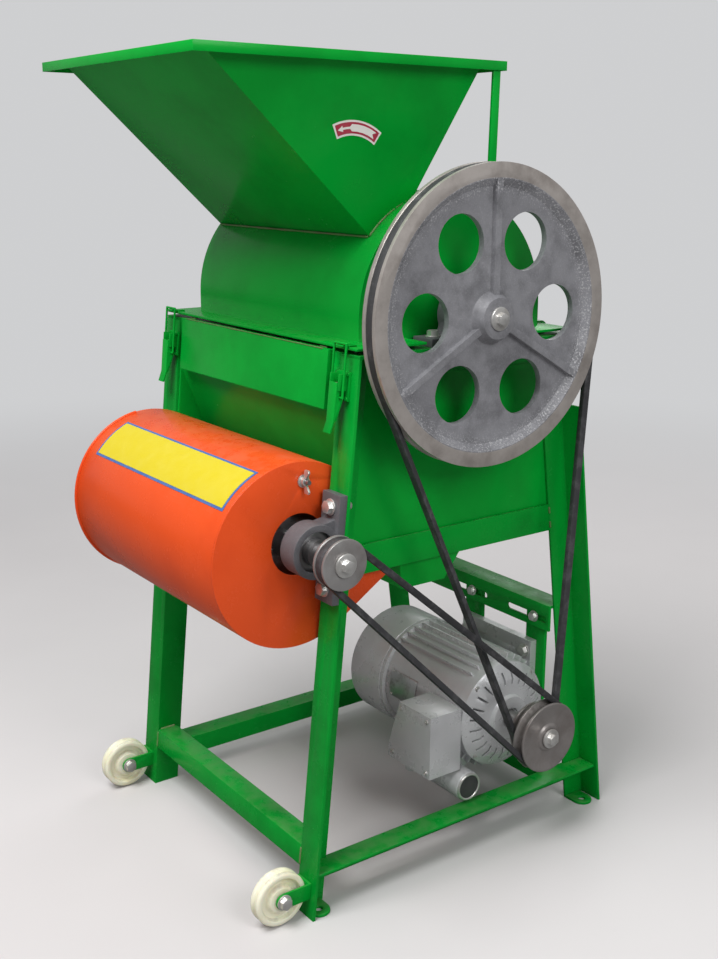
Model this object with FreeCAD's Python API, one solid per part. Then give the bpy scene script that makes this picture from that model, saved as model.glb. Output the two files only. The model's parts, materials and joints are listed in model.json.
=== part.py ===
import FreeCAD, Part
import math
import os

os.makedirs("parts", exist_ok=True)
V = FreeCAD.Vector

# Driving dimensions, in mm and degrees
frame_half = 246.0
angle_leg = 40.0
angle_t = 4.0
deck_z = 743.5
front_foot_y = -270.0
front_top_y = -198.4
rear_foot_y = 275.0
rear_top_y = 172.5
drum_y = -14.0
drum_z = 780.0
drum_pulley_r = 190.0
fan_z = 507.0
fan_case_r = 120.5
cover_r = 153.0
hopper_rise = 160.0
hopper_front_y = -391.0
hopper_rear_y = 60.0
motor_y = 100.0
motor_z = 179.0
motor_foot_h = 87.0
wheel_r = 37.5

# Legs and pads
leg_in = frame_half - angle_leg
leg_web = leg_in + angle_t
front_slope = (front_top_y - front_foot_y) / deck_z
rear_slope = (rear_top_y - rear_foot_y) / deck_z
rear_notch_z = 639.0
pad_in = 16.0
pad_x = frame_half - pad_in
pad_y = 250.0
pad_r = 15.5
pad_t = 4.0
pad_hole_r = 5.5

# Lower rails
side_rail_w = 35.0
side_rail_z0 = 32.0
side_rail_z1 = 62.0
cross_rail_w = 32.0
cross_rail_z0 = 62.0
cross_rail_z1 = 92.0
mid_rail_z0 = 452.0
mid_rail_z1 = 492.0

# Top rails
top_rear_y = 162.0
rail_drop = 40.0

# Motor rails and bars
motor_rail_y = 183.0
motor_rail_z0 = 290.0
motor_rail_z1 = 330.0
slot_z = 306.0
slot_h = 10.0
slot_len = 86.0
low_rail_z0 = 40.0
low_rail_z1 = 80.0
low_hole_z = 62.0
bar_w = 40.0
bar_t = 5.0
bar_z0 = 44.0
bar_z1 = 326.0
rail_bolt_r = 4.0
motor_bolt_r = 5.0
motor_bolt_dz = 70.0

# Bolts shared by several joints
head_share = 1.7
head_h_share = 0.65
nut_h_share = 0.8
washer_share = 2.1
washer_t = 1.6

# Wheels and their forks
wheel_w = 20.0
wheel_y = -308.0
wheel_z = 39.0
wheel_right_in = 25.0
wheel_right_x = frame_half - wheel_right_in
wheel_left_in = 14.0
wheel_left_x = wheel_left_in - frame_half
wheel_hub_r = 17.0
wheel_groove = 5.0
axle_r = 5.0
axle_fit = 0.06
fork_t = 3.0
fork_gap = 2.0
fork_end_r = 11.0

# Lower housing sheets
sheet = 3.0
panel_half = leg_in
panel_z0 = 455.0
panel_rear_y = 158.0
panel_notch_z = 640.0
strip_in = 18.0
strip_half = leg_in - strip_in
strip_z0 = 671.0
strip_z1 = 745.0
strip_out = 6.0
strip_top_y = -193.0
strip_low_y = -199.6
slope_b = (-200.0, 668.0)
slope_c = (-146.0, 530.0)
screen_r = 138.0
screen_wire_r = 2.5
screen_bar_w = 10.0
screen_start_angle = 198.0
screen_end_angle = 342.0
screen_rods = 37
screen_ribs = 7
floor_y0 = 10.0
floor_z0 = 456.0
floor_y1 = 200.0
floor_z1 = 480.0
chute_z0 = 415.0
chute_y0 = -95.0
chute_y1 = -21.0
chute_top_y0 = -100.0
chute_top_y1 = 10.0

# Cover
cover_in = 6.0
cover_half = panel_half - cover_in
cover_sheet = 2.5
cover_flange_z0 = 748.5
cover_flange_t = 3.5
cover_front_y = -200.0
cover_rear_y = 160.0
cover_side_in = 4.0
cover_side_x = frame_half - cover_side_in
cover_notch_y0 = -92.0
cover_notch_y1 = 64.0
cover_slot = 18.0

# Hopper
hopper_top_z = drum_z + cover_r + hopper_rise
hopper_out = 6.0
hopper_half = cover_half + hopper_out
hopper_lip = 11.5
hopper_flange = 22.0
hopper_sheet = 2.0
throat_left_in = 3.0
throat_left = throat_left_in - cover_half
throat_right_in = 27.0
throat_right = cover_half - throat_right_in
throat_y0 = -131.0
throat_y1 = -66.0
stay_w = 12.0
stay_t = 4.0
stay_y = 46.0

# Hinges
hinge_y = 168.0
hinge_z = 748.0
knuckle_r = 6.0
hinge_pin_r = 3.0
hinge_pin_fit = 0.06
hinge_in = 50.0
hinge_x = cover_half - hinge_in
hinge_len = 60.0
hinge_leaf_t = 2.0
hinge_leaf_h = 34.0
cover_leaf_h = 21.0
close_gap = 0.4

# Drum
shaft_r = 12.5
drum_shaft_left = 12.0
drum_shaft_x0 = -frame_half - drum_shaft_left
drum_shaft_right = 42.0
drum_shaft_x1 = frame_half + drum_shaft_right
disc_r = 96.0
disc_t = 8.0
disc_in = 30.0
disc_x = (disc_in - cover_half, 0.0, cover_half - disc_in)
hub_r = 24.0
hub_len = 26.0
beater_n = 4
beater_r = 122.0
beater_w = 34.0
beater_t = 8.0
beater_in = 12.0
beater_half = cover_half - beater_in

# Pillow blocks
block_h = 36.5
block_len = 140.0
block_w = 38.0
block_bolt = 52.5
block_base_t = 11.0
block_ring_r = 34.5
insert_r = 26.0
insert_w = 17.0
inner_ring_r = 17.0
inner_ring_len = 34.0
inner_ring_off = 2.7
block_in = 23.0
block_x = frame_half - block_in
fan_block_in = 20.0
fan_block_x = frame_half - fan_block_in

# Large pulley
pulley_out = 36.0
pulley_x1 = frame_half + pulley_out
pulley_w = 25.0
pulley_rim_in = 170.0
pulley_web_t = 9.0
pulley_hole_r = 36.5
pulley_hole_pitch = 107.0
pulley_hub_r = 26.0
pulley_hub_len = 36.0
pulley_hub_x0 = drum_shaft_x1 - pulley_hub_len
pulley_hub_x1 = drum_shaft_x1
pulley_rib_w = 9.0
pulley_rib_h = 8.0
groove_top = 14.0
groove_depth = 11.5
groove_low = 6.0

# Belts
belt_top = 12.8
belt_low = 7.2
belt_h = 8.0
belt_inset = 0.6
belt_step = 19.5
drum_belt_x = pulley_x1 - pulley_w / 2
fan_belt_x = drum_belt_x + belt_step

# Fan
fan_case_y = -261.0
fan_case_z = 492.6
fan_sheet = 2.0
cheek_t = 3.0
fan_side_gap = 3.0
fan_half = panel_half - sheet - fan_side_gap - cheek_t
duct_low_angle = -56.5
duct_up_angle = 16.4
duct_low = (-121.0, 440.0)
duct_up = (-105.0, 553.0)
inlet_r = 40.0
gate_r = 46.0
gate_t = 2.0
gate_gap = 0.4
gate_swing_angle = 45.0
gate_slot = 18.0
gate_stud_r = 3.0
gate_stud_fit = 0.06
gate_off = 7.0
gate_drop = 25.1
wing_r = 5.5
wing_h = 7.0
wing_span = 15.0
wing_top = 14.0
fan_shaft_left = 1.0
fan_shaft_x0 = fan_shaft_left - frame_half
impeller_r = 94.0
impeller_in = 19.0
impeller_half = fan_half - impeller_in
impeller_n = 4
fan_pulley_r = 32.0
fan_pulley_w = 22.0
fan_shaft_x1 = fan_belt_x + fan_pulley_w / 2

# Motor
body_in = 61.0
body_len = 165.0
body_x1 = frame_half - body_in
body_x0 = body_x1 - body_len
body_r = 80.0
fin_r = 88.0
fin_t = 2.4
fin_n = 36
bore_r = 70.0
shield_t = 34.0
vent_w = 3.2
vent_n = 24
vent_shares = (0.62, 0.86)
rear_shield_t = 12.0
rear_shield_x0 = body_x0 - rear_shield_t
cowl_len = 80.0
cowl_x0 = body_x0 - cowl_len
cowl_r = 88.5
cowl_t = 2.0
rotor_r = 39.5
air_gap = 0.5
bearing_r = 23.5
motor_shaft_r = 12.0
motor_shaft_out = 11.5
motor_shaft_x1 = fan_belt_x + motor_shaft_out
foot_in = (3.0, 7.0)
foot_x0 = body_x0 + foot_in[0]
foot_x1 = body_x1 - foot_in[1]
foot_t = 12.0
foot_half = 88.0
slot_in = (6.0, 27.0)
slot_x = (body_x0 + slot_in[0], body_x1 - slot_in[1])
bar_in = (15.0, 10.0)
bar_x = (body_x0 + bar_in[0], body_x1 - bar_in[1])
motor_bolt_in = (18.0, 20.0)
motor_bolt_x = (body_x0 + motor_bolt_in[0], body_x1 - motor_bolt_in[1])
box_len = 97.0
box_out = 16.0
box_x1 = body_x1 + box_out
box_x0 = box_x1 - box_len
box_y0 = -38.0
box_y1 = 19.5
box_z0 = 112.0
box_z1 = 208.0
box_cut = 26.0
box_low = 18.0
cap_len = 84.0
cap_out = 29.0
cap_x1 = body_x1 + cap_out
cap_x0 = cap_x1 - cap_len
cap_r = 22.0
cap_y = 26.0
cap_z = 88.0
motor_groove_r = 39.5
motor_disc_r = 51.5

# Latches
latch_in = 28.0
latch_x = frame_half - latch_in
latch_base_w = 28.0
latch_base_t = 3.0
latch_z0 = 690.0
latch_z1 = 726.0
latch_pin_z = 708.0
latch_pin_r = 2.5
latch_pin_off = 10.0
latch_pin_fit = 0.06
lever_w = 15.0
lever_t = 2.0
lever_tip_z = 650.0
bail_wire_r = 1.6
bail_top_z = 757.0
bail_half = 12.5
bail_pivot_z = 694.0


def front_y(z):
    return front_foot_y + front_slope * z


def rear_y(z):
    return rear_foot_y + rear_slope * z


def poly(points):
    return Part.Face(Part.makePolygon(points + [points[0]]))


def prism_x(points, x0, x1):
    """Plate with a YZ outline, running along X."""
    face = poly([V(x0, y, z) for y, z in points])
    return face.extrude(V(x1 - x0, 0, 0))


def prism_y(points, y0, y1):
    """Plate with an XZ outline, running along Y."""
    face = poly([V(x, y0, z) for x, z in points])
    return face.extrude(V(0, y1 - y0, 0))


def block(x0, x1, y0, y1, z0, z1):
    return Part.makeBox(x1 - x0, y1 - y0, z1 - z0, V(x0, y0, z0))


def rod_x(r, x0, x1, y, z):
    return Part.makeCylinder(r, x1 - x0, V(x0, y, z), V(1, 0, 0))


def rod_y(r, y0, y1, x, z):
    return Part.makeCylinder(r, y1 - y0, V(x, y0, z), V(0, 1, 0))


def rod_z(r, z0, z1, x, y):
    return Part.makeCylinder(r, z1 - z0, V(x, y, z0), V(0, 0, 1))


def ring_x(r1, r0, x0, x1, y, z):
    return rod_x(r1, x0, x1, y, z).cut(rod_x(r0, x0, x1, y, z))


def turned(profile, y, z):
    """Solid turned about an X axis from (x, radius) points."""
    face = poly([V(x, y, z + r) for x, r in profile])
    return face.revolve(V(0, y, z), V(1, 0, 0), 360)


def fuse(shapes):
    out = shapes[0]
    for one in shapes[1:]:
        out = out.fuse(one)
    return out.removeSplitter()


def mirror_x(shape):
    return shape.mirror(V(0, 0, 0), V(1, 0, 0))


def both(shape):
    """The shape and its mirror image, as separate solids."""
    return [shape, mirror_x(shape)]


def spin(shape, y, z, deg):
    out = shape.copy()
    out.rotate(V(0, y, z), V(1, 0, 0), deg)
    return out


def save(name, shapes):
    solids = []
    for one in shapes:
        solids.extend(one.Solids)
    out = solids[0] if len(solids) == 1 else Part.makeCompound(solids)
    out.exportStep("parts/" + name + ".step")


# Stand
def leg(front):
    sign = 1.0 if front else -1.0
    y0 = front_foot_y if front else rear_foot_y
    slope = front_slope if front else rear_slope
    top = deck_z - angle_t
    web = [(leg_in, y0), (leg_web, y0), (leg_web, y0 + sign * angle_leg), (leg_in, y0 + sign * angle_leg)]
    face = [(leg_in, y0), (frame_half, y0), (frame_half, y0 + sign * angle_t),
            (leg_in, y0 + sign * angle_t)]
    face_top = top if front else rear_notch_z
    out = poly([V(x, y, 0) for x, y in web]).extrude(V(0, slope * top, top))
    side = poly([V(x, y, 0) for x, y in face]).extrude(V(0, slope * face_top, face_top))
    return fuse([out, side])


def foot_pad(front):
    y = -pad_y if front else pad_y
    out = rod_z(pad_r, 0, pad_t, pad_x, y)
    out = out.fuse(block(leg_web, pad_x, y - pad_r, y + pad_r, 0, pad_t))
    return out.cut(rod_z(pad_hole_r, 0, pad_t, pad_x, y)).removeSplitter()


def web_front(z):
    """Inner edge of the front legs' side flange."""
    return front_y(z) + angle_leg


def web_rear(z):
    return rear_y(z) - angle_leg


def side_plate(z0, z1, x0=leg_in, x1=leg_web):
    """Flat piece between the side flanges of the front and rear leg."""
    return prism_x([(web_front(z0), z0), (web_rear(z0), z0), (web_rear(z1), z1), (web_front(z1), z1)],
                   x0, x1)


def low_side_rail():
    z0, z1 = side_rail_z0, side_rail_z1
    zt = z1 - angle_t
    y0, y1 = front_y(zt) + angle_t + close_gap, rear_y(zt) - angle_t - close_gap
    top = prism_x([(y0, zt), (y1, zt), (y1 - close_gap, z1), (y0 + close_gap, z1)],
                  leg_web, leg_in + side_rail_w)
    return fuse([side_plate(z0, z1), top])


def low_front_rail():
    z0, z1, t = cross_rail_z0, cross_rail_z1, angle_t
    points = [(front_y(z0), z0), (front_y(z0) + t, z0), (front_y(z1 - t) + t, z1 - t),
              (front_y(z1) + cross_rail_w, z1 - t), (front_y(z1) + cross_rail_w, z1), (front_y(z1), z1)]
    return prism_x(points, -leg_in, leg_in)


def low_rear_rail():
    z0, z1, t = cross_rail_z0, cross_rail_z1, angle_t
    points = [(rear_y(z0), z0), (rear_y(z0) - t, z0), (rear_y(z1 - t) - t, z1 - t),
              (rear_y(z1) - cross_rail_w, z1 - t), (rear_y(z1) - cross_rail_w, z1), (rear_y(z1), z1)]
    return prism_x(points, -leg_in, leg_in)


def top_side_rail():
    z0, z1 = deck_z - rail_drop, deck_z - angle_t
    out = fuse([block(leg_in, frame_half, front_top_y, top_rear_y, z1, deck_z), side_plate(z0, z1)])
    for dy in (-block_bolt, block_bolt):
        out = out.cut(rod_z(motor_bolt_r, z1, deck_z, block_x, drum_y + dy))
    return out


def top_cross_rail(front):
    z0, z1 = deck_z - rail_drop, deck_z
    if front:
        up = block(-leg_in, leg_in, front_top_y, front_top_y + angle_t, z0, z1)
        return fuse([up, block(-leg_in, leg_in, front_top_y, front_top_y + rail_drop, z1 - angle_t, z1)])
    up = block(-leg_in, leg_in, top_rear_y - angle_t, top_rear_y, z0, z1)
    return fuse([up, block(-leg_in, leg_in, top_rear_y - rail_drop, top_rear_y, z1 - angle_t, z1)])


def slot_y(x, z, length, height, y0, y1):
    r = height / 2
    out = rod_y(r, y0, y1, x - length / 2 + r, z).fuse(rod_y(r, y0, y1, x + length / 2 - r, z))
    return out.fuse(block(x - length / 2 + r, x + length / 2 - r, y0, y1, z - r, z + r))


def motor_upper_rail():
    y0, z0, z1 = motor_rail_y, motor_rail_z0, motor_rail_z1
    up = block(-leg_in, leg_in, y0, y0 + angle_t, z0, z1)
    out = fuse([up, block(-leg_in, leg_in, y0, y0 + angle_leg, z1 - angle_t, z1)])
    for x in slot_x:
        out = out.cut(slot_y(x, slot_z, slot_len, slot_h, y0, y0 + angle_t))
    return out


def motor_lower_rail():
    y0, z0, z1 = motor_rail_y, low_rail_z0, low_rail_z1
    up = block(-leg_in, leg_in, y0, y0 + angle_t, z0, z1)
    out = fuse([up, block(-leg_in, leg_in, y0, y0 + angle_leg, z0, z0 + angle_t)])
    for x in bar_x:
        out = out.cut(rod_y(rail_bolt_r, y0, y0 + angle_t, x, low_hole_z))
    return out


def motor_bars():
    y0 = motor_rail_y + angle_t
    out = []
    for x, bx in zip(bar_x, motor_bolt_x):
        bar = block(x - bar_w / 2, x + bar_w / 2, y0, y0 + bar_t, bar_z0, bar_z1)
        for z in (slot_z, low_hole_z):
            bar = bar.cut(rod_y(rail_bolt_r, y0, y0 + bar_t, x, z))
        for dz in (-motor_bolt_dz, motor_bolt_dz):
            bar = bar.cut(rod_y(motor_bolt_r, y0, y0 + bar_t, bx, motor_z + dz))
        out.append(bar)
    return out


def hexagon(r, x, y):
    return [(x + r * math.cos(math.radians(60 * k)), y
             + r * math.sin(math.radians(60 * k))) for k in range(6)]


def hex_prism(r, h):
    """Upright hexagon from the origin."""
    return poly([V(x, y, 0) for x, y in hexagon(r, 0, 0)]).extrude(V(0, 0, h))


def bolt(r, grip, washers=True):
    """Bolt with its head on the plane z = 0, its nut under z = -grip."""
    w = washer_t if washers else 0
    head = hex_prism(head_share * r, head_h_share * 2 * r)
    head.translate(V(0, 0, w))
    nut = hex_prism(head_share * r, nut_h_share * 2 * r)
    nut.translate(V(0, 0, -grip - w - nut_h_share * 2 * r))
    shank = Part.makeCylinder(r, grip + 2 * w + nut_h_share * 2 * r + r,
                              V(0, 0, -grip - w - nut_h_share * 2 * r - r))
    parts = [head, nut, shank]
    if washers:
        parts.append(Part.makeCylinder(washer_share * r, w))
        parts.append(Part.makeCylinder(washer_share * r, w, V(0, 0, -grip - w)))
    return fuse(parts)


def put(shape, pos, axis):
    """Turn +Z of the shape to the axis and move it."""
    out = shape.copy()
    turn = FreeCAD.Rotation(V(0, 0, 1), V(*axis))
    out.Placement = FreeCAD.Placement(V(*pos), turn)
    return out


def motor_bolts():
    y0 = motor_rail_y
    out = []
    for x in bar_x:
        for z in (slot_z, low_hole_z):
            out.append(put(bolt(rail_bolt_r, angle_t + bar_t), (x, y0, z), (0, -1, 0)))
    for x in motor_bolt_x:
        for dz in (-motor_bolt_dz, motor_bolt_dz):
            pos = (x, motor_y + motor_foot_h - foot_t, motor_z + dz)
            out.append(put(bolt(motor_bolt_r, foot_t + bar_t), pos, (0, -1, 0)))
    return out


# Wheels
def wheel(x):
    half = wheel_w / 2
    r, g = wheel_r, wheel_groove
    share = 0.35
    profile = [(x - half, axle_r + axle_fit), (x - half, wheel_hub_r),
               (x - share * half, wheel_hub_r + g),
               (x - share * half, r - 2 * g), (x - half, r - 1.5 * g), (x - half, r - g / 2),
               (x - 0.8 * half, r),
               (x - 0.4 * half, r), (x, r - g), (x + 0.4 * half, r), (x + 0.8 * half, r),
               (x + half, r - g / 2),
               (x + half, r - 1.5 * g), (x + share * half, r - 2 * g),
               (x + share * half, wheel_hub_r + g),
               (x + half, wheel_hub_r), (x + half, axle_r + axle_fit)]
    return turned(profile, wheel_y, wheel_z)


def wheel_fork(x):
    """U strap over the wheel: two side plates and a curved top."""
    gap = wheel_w / 2 + fork_gap
    low, high = wheel_z - fork_end_r, wheel_z + fork_end_r
    out = []
    for x0 in (x - gap - fork_t, x + gap):
        x1 = x0 + fork_t
        plate = rod_x(fork_end_r, x0, x1, wheel_y, wheel_z)
        points = [(wheel_y, low), (front_y(low), low), (front_y(high), high), (wheel_y, high)]
        plate = plate.fuse(prism_x(points, x0, x1))
        out.append(plate)
    back = prism_x([(front_y(low) - fork_t, low), (front_y(low), low), (front_y(high), high),
                    (front_y(high) - fork_t, high)], x - gap - fork_t, x + gap + fork_t)
    body = fuse(out + [back])
    return body.cut(rod_x(axle_r, x - gap - fork_t, x + gap + fork_t, wheel_y, wheel_z))


def wheel_bolt(x):
    gap = wheel_w / 2 + fork_gap + fork_t
    return put(bolt(axle_r, 2 * gap), (x + gap, wheel_y, wheel_z), (1, 0, 0))


# Lower housing
def side_panel():
    top = deck_z - angle_t
    low = deck_z - rail_drop
    front_top = front_top_y + angle_t
    edge = angle_t
    points = [(front_top, top), (front_top, low), (front_y(low) + edge, low),
              (front_y(panel_z0) + edge, panel_z0),
              (rear_y(panel_z0) - edge, panel_z0), (rear_y(panel_notch_z) - edge, panel_notch_z),
              (panel_rear_y, panel_notch_z), (panel_rear_y, top)]
    out = prism_x(points, panel_half - sheet, panel_half)
    return out


def front_strip():
    z0, z1, t = strip_z0, strip_z1, sheet / 2
    y0, y1 = front_y(z0) - strip_out, front_y(z1) - strip_out
    back0 = front_y(z0)
    face = prism_x([(y0, z0), (y0 + t, z0), (y1 + t, z1), (y1, z1)], -strip_half, strip_half)
    low = prism_x([(y0, z0), (y0, z0 + t), (strip_low_y, z0 + t), (strip_low_y, z0)], -strip_half,
                  strip_half)
    side = prism_x([(y0, z0), (y1, z1), (front_top_y, z1), (back0, z0)], -strip_half, -strip_half + t)
    top = prism_x([(y1, z1 - t), (y1, z1), (strip_top_y, z1), (strip_top_y, z1 - t)], -strip_half,
                  strip_half)
    return fuse([face, low, side, mirror_x(side), top])


def front_slope_panel():
    t = sheet / 2
    half = panel_half - sheet
    (yb, zb), (yc, zc) = slope_b, slope_c
    ya, za = front_top_y + angle_t, deck_z - angle_t
    points = [(ya, za), (ya, deck_z - rail_drop), (yb, zb), (yc, zc), (yc + t, zc), (yb + t, zb),
              (ya + t, deck_z - rail_drop), (ya + t, za)]
    return prism_x(points, -half, half)


def rear_panel():
    half = panel_half - sheet
    top = deck_z - angle_t
    return block(-half, half, panel_rear_y - sheet, panel_rear_y, panel_notch_z, top)


def concave_screen():
    half = panel_half - sheet
    parts = []
    span = screen_end_angle - screen_start_angle
    for k in range(screen_ribs):
        x = -half + k * (2 * half - sheet) / (screen_ribs - 1)
        rib = ring_x(screen_r + screen_bar_w, screen_r, x, x + sheet, 0, 0)
        keep = rod_wedge(screen_start_angle, screen_end_angle, screen_r + 2 * screen_bar_w, x, x + sheet)
        rib = rib.common(keep)
        rib.translate(V(0, drum_y, drum_z))
        parts.append(rib)
    for k in range(screen_rods):
        a = math.radians(screen_start_angle + span * (k + 0.5) / screen_rods)
        r = screen_r + screen_bar_w / 2
        parts.append(rod_x(screen_wire_r, -half, half,
                           drum_y + r * math.cos(a), drum_z + r * math.sin(a)))
    out = parts[0].multiFuse(parts[1:])
    return out.removeSplitter()


def rod_wedge(a0, a1, r, x0, x1):
    """Wedge about the X axis, between two angles from +Y."""
    n = 8
    points = [(0.0, 0.0)]
    for k in range(n + 1):
        a = math.radians(a0 + (a1 - a0) * k / n)
        points.append((r * 1.1 * math.cos(a), r * 1.1 * math.sin(a)))
    return prism_x(points, x0, x1)


def husk_floor():
    half = panel_half - sheet
    t = sheet / 2
    points = [(floor_y0, floor_z0), (floor_y1, floor_z1), (floor_y1, floor_z1 + t),
              (floor_y0, floor_z0 + t)]
    return prism_x(points, -half, half)


def kernel_chute():
    t = sheet / 2
    half = panel_half - sheet
    z0, z1 = chute_z0, floor_z0
    side = prism_x([(chute_y0, z0), (chute_y1, z0), (chute_top_y1, z1), (chute_top_y0, z1)],
                   half - sheet, half)
    up = prism_x([(chute_top_y0, z1), (chute_top_y1, z1), (chute_top_y1, z1 + rail_drop),
                  (chute_top_y0, z1 + rail_drop)], half - sheet, half)
    low = prism_x([(chute_y1, z0), (chute_top_y1, z1), (chute_top_y1 - t, z1), (chute_y1 - t, z0)],
                  -half, half)
    front = prism_x([(chute_y0, z0), (chute_top_y0, z1), (chute_top_y0 + t, z1), (chute_y0 + t, z0)],
                    -half, half)
    return fuse([side, up, mirror_x(side), mirror_x(up), low, front])


# Cover and hopper
def dome(r, half, z0):
    """Half round solid over a straight sided foot, as the cover's outside."""
    top = rod_x(r, -half, half, drum_y, drum_z)
    top = top.common(block(-half, half, drum_y - r, drum_y + r, drum_z, drum_z + r))
    return fuse([top, block(-half, half, drum_y - r, drum_y + r, z0, drum_z)])


def rect(x0, x1, y0, y1, z):
    return Part.makePolygon([V(x0, y0, z), V(x1, y0, z), V(x1, y1, z), V(x0, y1, z), V(x0, y0, z)])


def arc_z(y):
    return drum_z + math.sqrt(cover_r ** 2 - (y - drum_y) ** 2)


def funnel(inset):
    """Tapered solid of the hopper, moved in on all sides by the inset."""
    z1 = hopper_top_z - hopper_sheet
    zf, zr = arc_z(throat_y0), arc_z(throat_y1)
    top_half = hopper_half - hopper_flange
    yf1, yr1 = hopper_front_y + hopper_flange, hopper_rear_y - hopper_flange
    z0 = zf - hopper_lip
    yf0 = throat_y0 + (throat_y0 - yf1) * (zf - z0) / (z1 - zf)
    yr0 = throat_y1 + (throat_y1 - yr1) * (zr - z0) / (z1 - zr)
    left0 = throat_left + (throat_left + top_half) * (zf - z0) / (z1 - zf)
    right0 = throat_right + (throat_right - top_half) * (zf - z0) / (z1 - zf)
    low = rect(left0 + inset, right0 - inset, yf0 + inset, yr0 - inset, z0)
    high = rect(-top_half + inset, top_half - inset, yf1 + inset, yr1 - inset, z1)
    return Part.makeLoft([low, high], True, True)


def cover_notches(z0, z1):
    out = []
    for side in both(block(cover_half, cover_side_x, cover_notch_y0, cover_notch_y1, z0, z1)):
        out.append(side)
    return out


def upper_housing():
    z0, z1 = cover_flange_z0, cover_flange_z0 + cover_flange_t
    shell = dome(cover_r, cover_half, z0).cut(dome(cover_r - cover_sheet, cover_half - sheet, z0))
    flange = block(-cover_side_x, cover_side_x, cover_front_y, cover_rear_y, z0, z1)
    flange = flange.cut(block(-cover_half, cover_half, drum_y - cover_r, drum_y + cover_r, z0, z1))
    for notch in cover_notches(z0, z1):
        flange = flange.cut(notch)
    out = fuse([shell, flange])
    out = out.cut(funnel(hopper_sheet))
    slot = rod_x(cover_slot, -cover_half, cover_half, drum_y, drum_z)
    slot = slot.fuse(block(-cover_half, cover_half, drum_y - cover_slot, drum_y + cover_slot, z0, drum_z))
    return out.cut(slot)


def hopper():
    t = hopper_sheet
    z1 = hopper_top_z
    top_half = hopper_half - hopper_flange
    yf1, yr1 = hopper_front_y + hopper_flange, hopper_rear_y - hopper_flange
    walls = funnel(0).cut(funnel(t)).cut(rod_x(cover_r, -hopper_half, hopper_half, drum_y, drum_z))
    rim = block(-hopper_half, hopper_half, hopper_front_y, hopper_rear_y, z1 - hopper_lip, z1)
    rim = rim.cut(block(-hopper_half + t, hopper_half - t, hopper_front_y + t, hopper_rear_y - t,
                        z1 - hopper_lip, z1 - t))
    rim = rim.cut(block(-top_half + t, top_half - t, yf1 + t, yr1 - t, z1 - t, z1))
    return fuse([walls, rim])


def hopper_stay():
    z0, z1 = arc_z(stay_y) - stay_w, hopper_top_z - hopper_sheet
    x0, x1 = cover_half - stay_t - hinge_leaf_t / 2, hopper_half - stay_t - 1.2 * hopper_sheet
    y0, y1 = stay_y - stay_w / 2, stay_y + stay_w / 2
    low = Part.makePolygon([V(x0, y0, z0), V(x0 + stay_t, y0, z0), V(x0 + stay_t, y1, z0),
                            V(x0, y1, z0), V(x0, y0, z0)])
    high = Part.makePolygon([V(x1, y0, z1), V(x1 + stay_t, y0, z1), V(x1 + stay_t, y1, z1),
                             V(x1, y1, z1), V(x1, y0, z1)])
    out = Part.makeLoft([low, high], True, True)
    return out.cut(rod_x(cover_r, 0, hopper_half, drum_y, drum_z))


# Hinges
def hinge_thirds(x):
    third = hinge_len / 3
    return [(x - 1.5 * third, x - third / 2 - close_gap), (x - third / 2, x + third / 2),
            (x + third / 2 + close_gap, x + 1.5 * third)]


def frame_leaf(x):
    t, r = hinge_leaf_t, knuckle_r
    z1 = hinge_z - r - close_gap
    y0 = hinge_y - r
    out = block(x - hinge_len / 2, x + hinge_len / 2, y0, y0 + t, z1 - hinge_leaf_h, z1)
    x0, x1 = hinge_thirds(x)[1]
    out = fuse([out, block(x0, x1, y0, y0 + t, z1, hinge_z), rod_x(r, x0, x1, hinge_y, hinge_z)])
    return out.cut(rod_x(hinge_pin_r, x0, x1, hinge_y, hinge_z))


def cover_leaf(x):
    t, r = hinge_leaf_t, knuckle_r
    z0 = hinge_z + r - t
    y1 = hinge_y - r - close_gap
    parts = [block(x - hinge_len / 2, x + hinge_len / 2, y1 - cover_leaf_h, y1, z0, z0 + t)]
    for k in (0, 2):
        x0, x1 = hinge_thirds(x)[k]
        parts.append(block(x0, x1, y1, hinge_y, z0, z0 + t))
        parts.append(rod_x(r, x0, x1, hinge_y, hinge_z))
    out = fuse(parts)
    return out.cut(rod_x(hinge_pin_r + hinge_pin_fit, x - hinge_len / 2, x + hinge_len / 2, hinge_y,
                         hinge_z))


def hinge_pin(x):
    half = hinge_len / 2 + 2 * close_gap
    pin = rod_x(hinge_pin_r, x - half, x + half, hinge_y, hinge_z)
    head = hinge_pin_r * head_share
    for x0, x1 in ((x - half - sheet / 2, x - half), (x + half, x + half + sheet / 2)):
        pin = pin.fuse(rod_x(head, x0, x1, hinge_y, hinge_z))
    return pin.removeSplitter()


# Pieces that sit flat on the sloping front legs
lean = math.degrees(math.atan(front_slope))


def on_leg(shape):
    """From leg axes, with y = 0 on the front face, to the machine's axes."""
    out = shape.copy()
    out.rotate(V(0, 0, 0), V(1, 0, 0), -lean)
    out.translate(V(0, front_foot_y, 0))
    return out


def leg_s(z, n):
    """Distance along the leg of a point at height z, n in front of the face."""
    a = math.radians(lean)
    return (z - n * math.sin(a)) / math.cos(a)


def latch_base(x):
    t = latch_base_t
    plate = block(x - latch_base_w / 2, x + latch_base_w / 2, -t, 0, latch_z0, latch_z1)
    parts = [plate]
    ear = latch_pin_off + 2 * latch_pin_r
    inner = lever_w / 2 + close_gap
    for x0 in (x - inner - lever_t, x + inner):
        parts.append(block(x0, x0 + lever_t, -ear, -t, latch_pin_z - t - latch_pin_r, latch_z1 - t))
    parts.append(rod_x(latch_pin_r, x - inner - lever_t, x + inner + lever_t, -latch_pin_off,
                       latch_pin_z))
    for dx in (-1, 1):
        for z in (latch_z0 + t, latch_z1 - t):
            parts.append(rod_y(latch_pin_r, -t - lever_t, -t, x + dx * (latch_base_w / 2 - t), z))
    return on_leg(fuse(parts))


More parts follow.
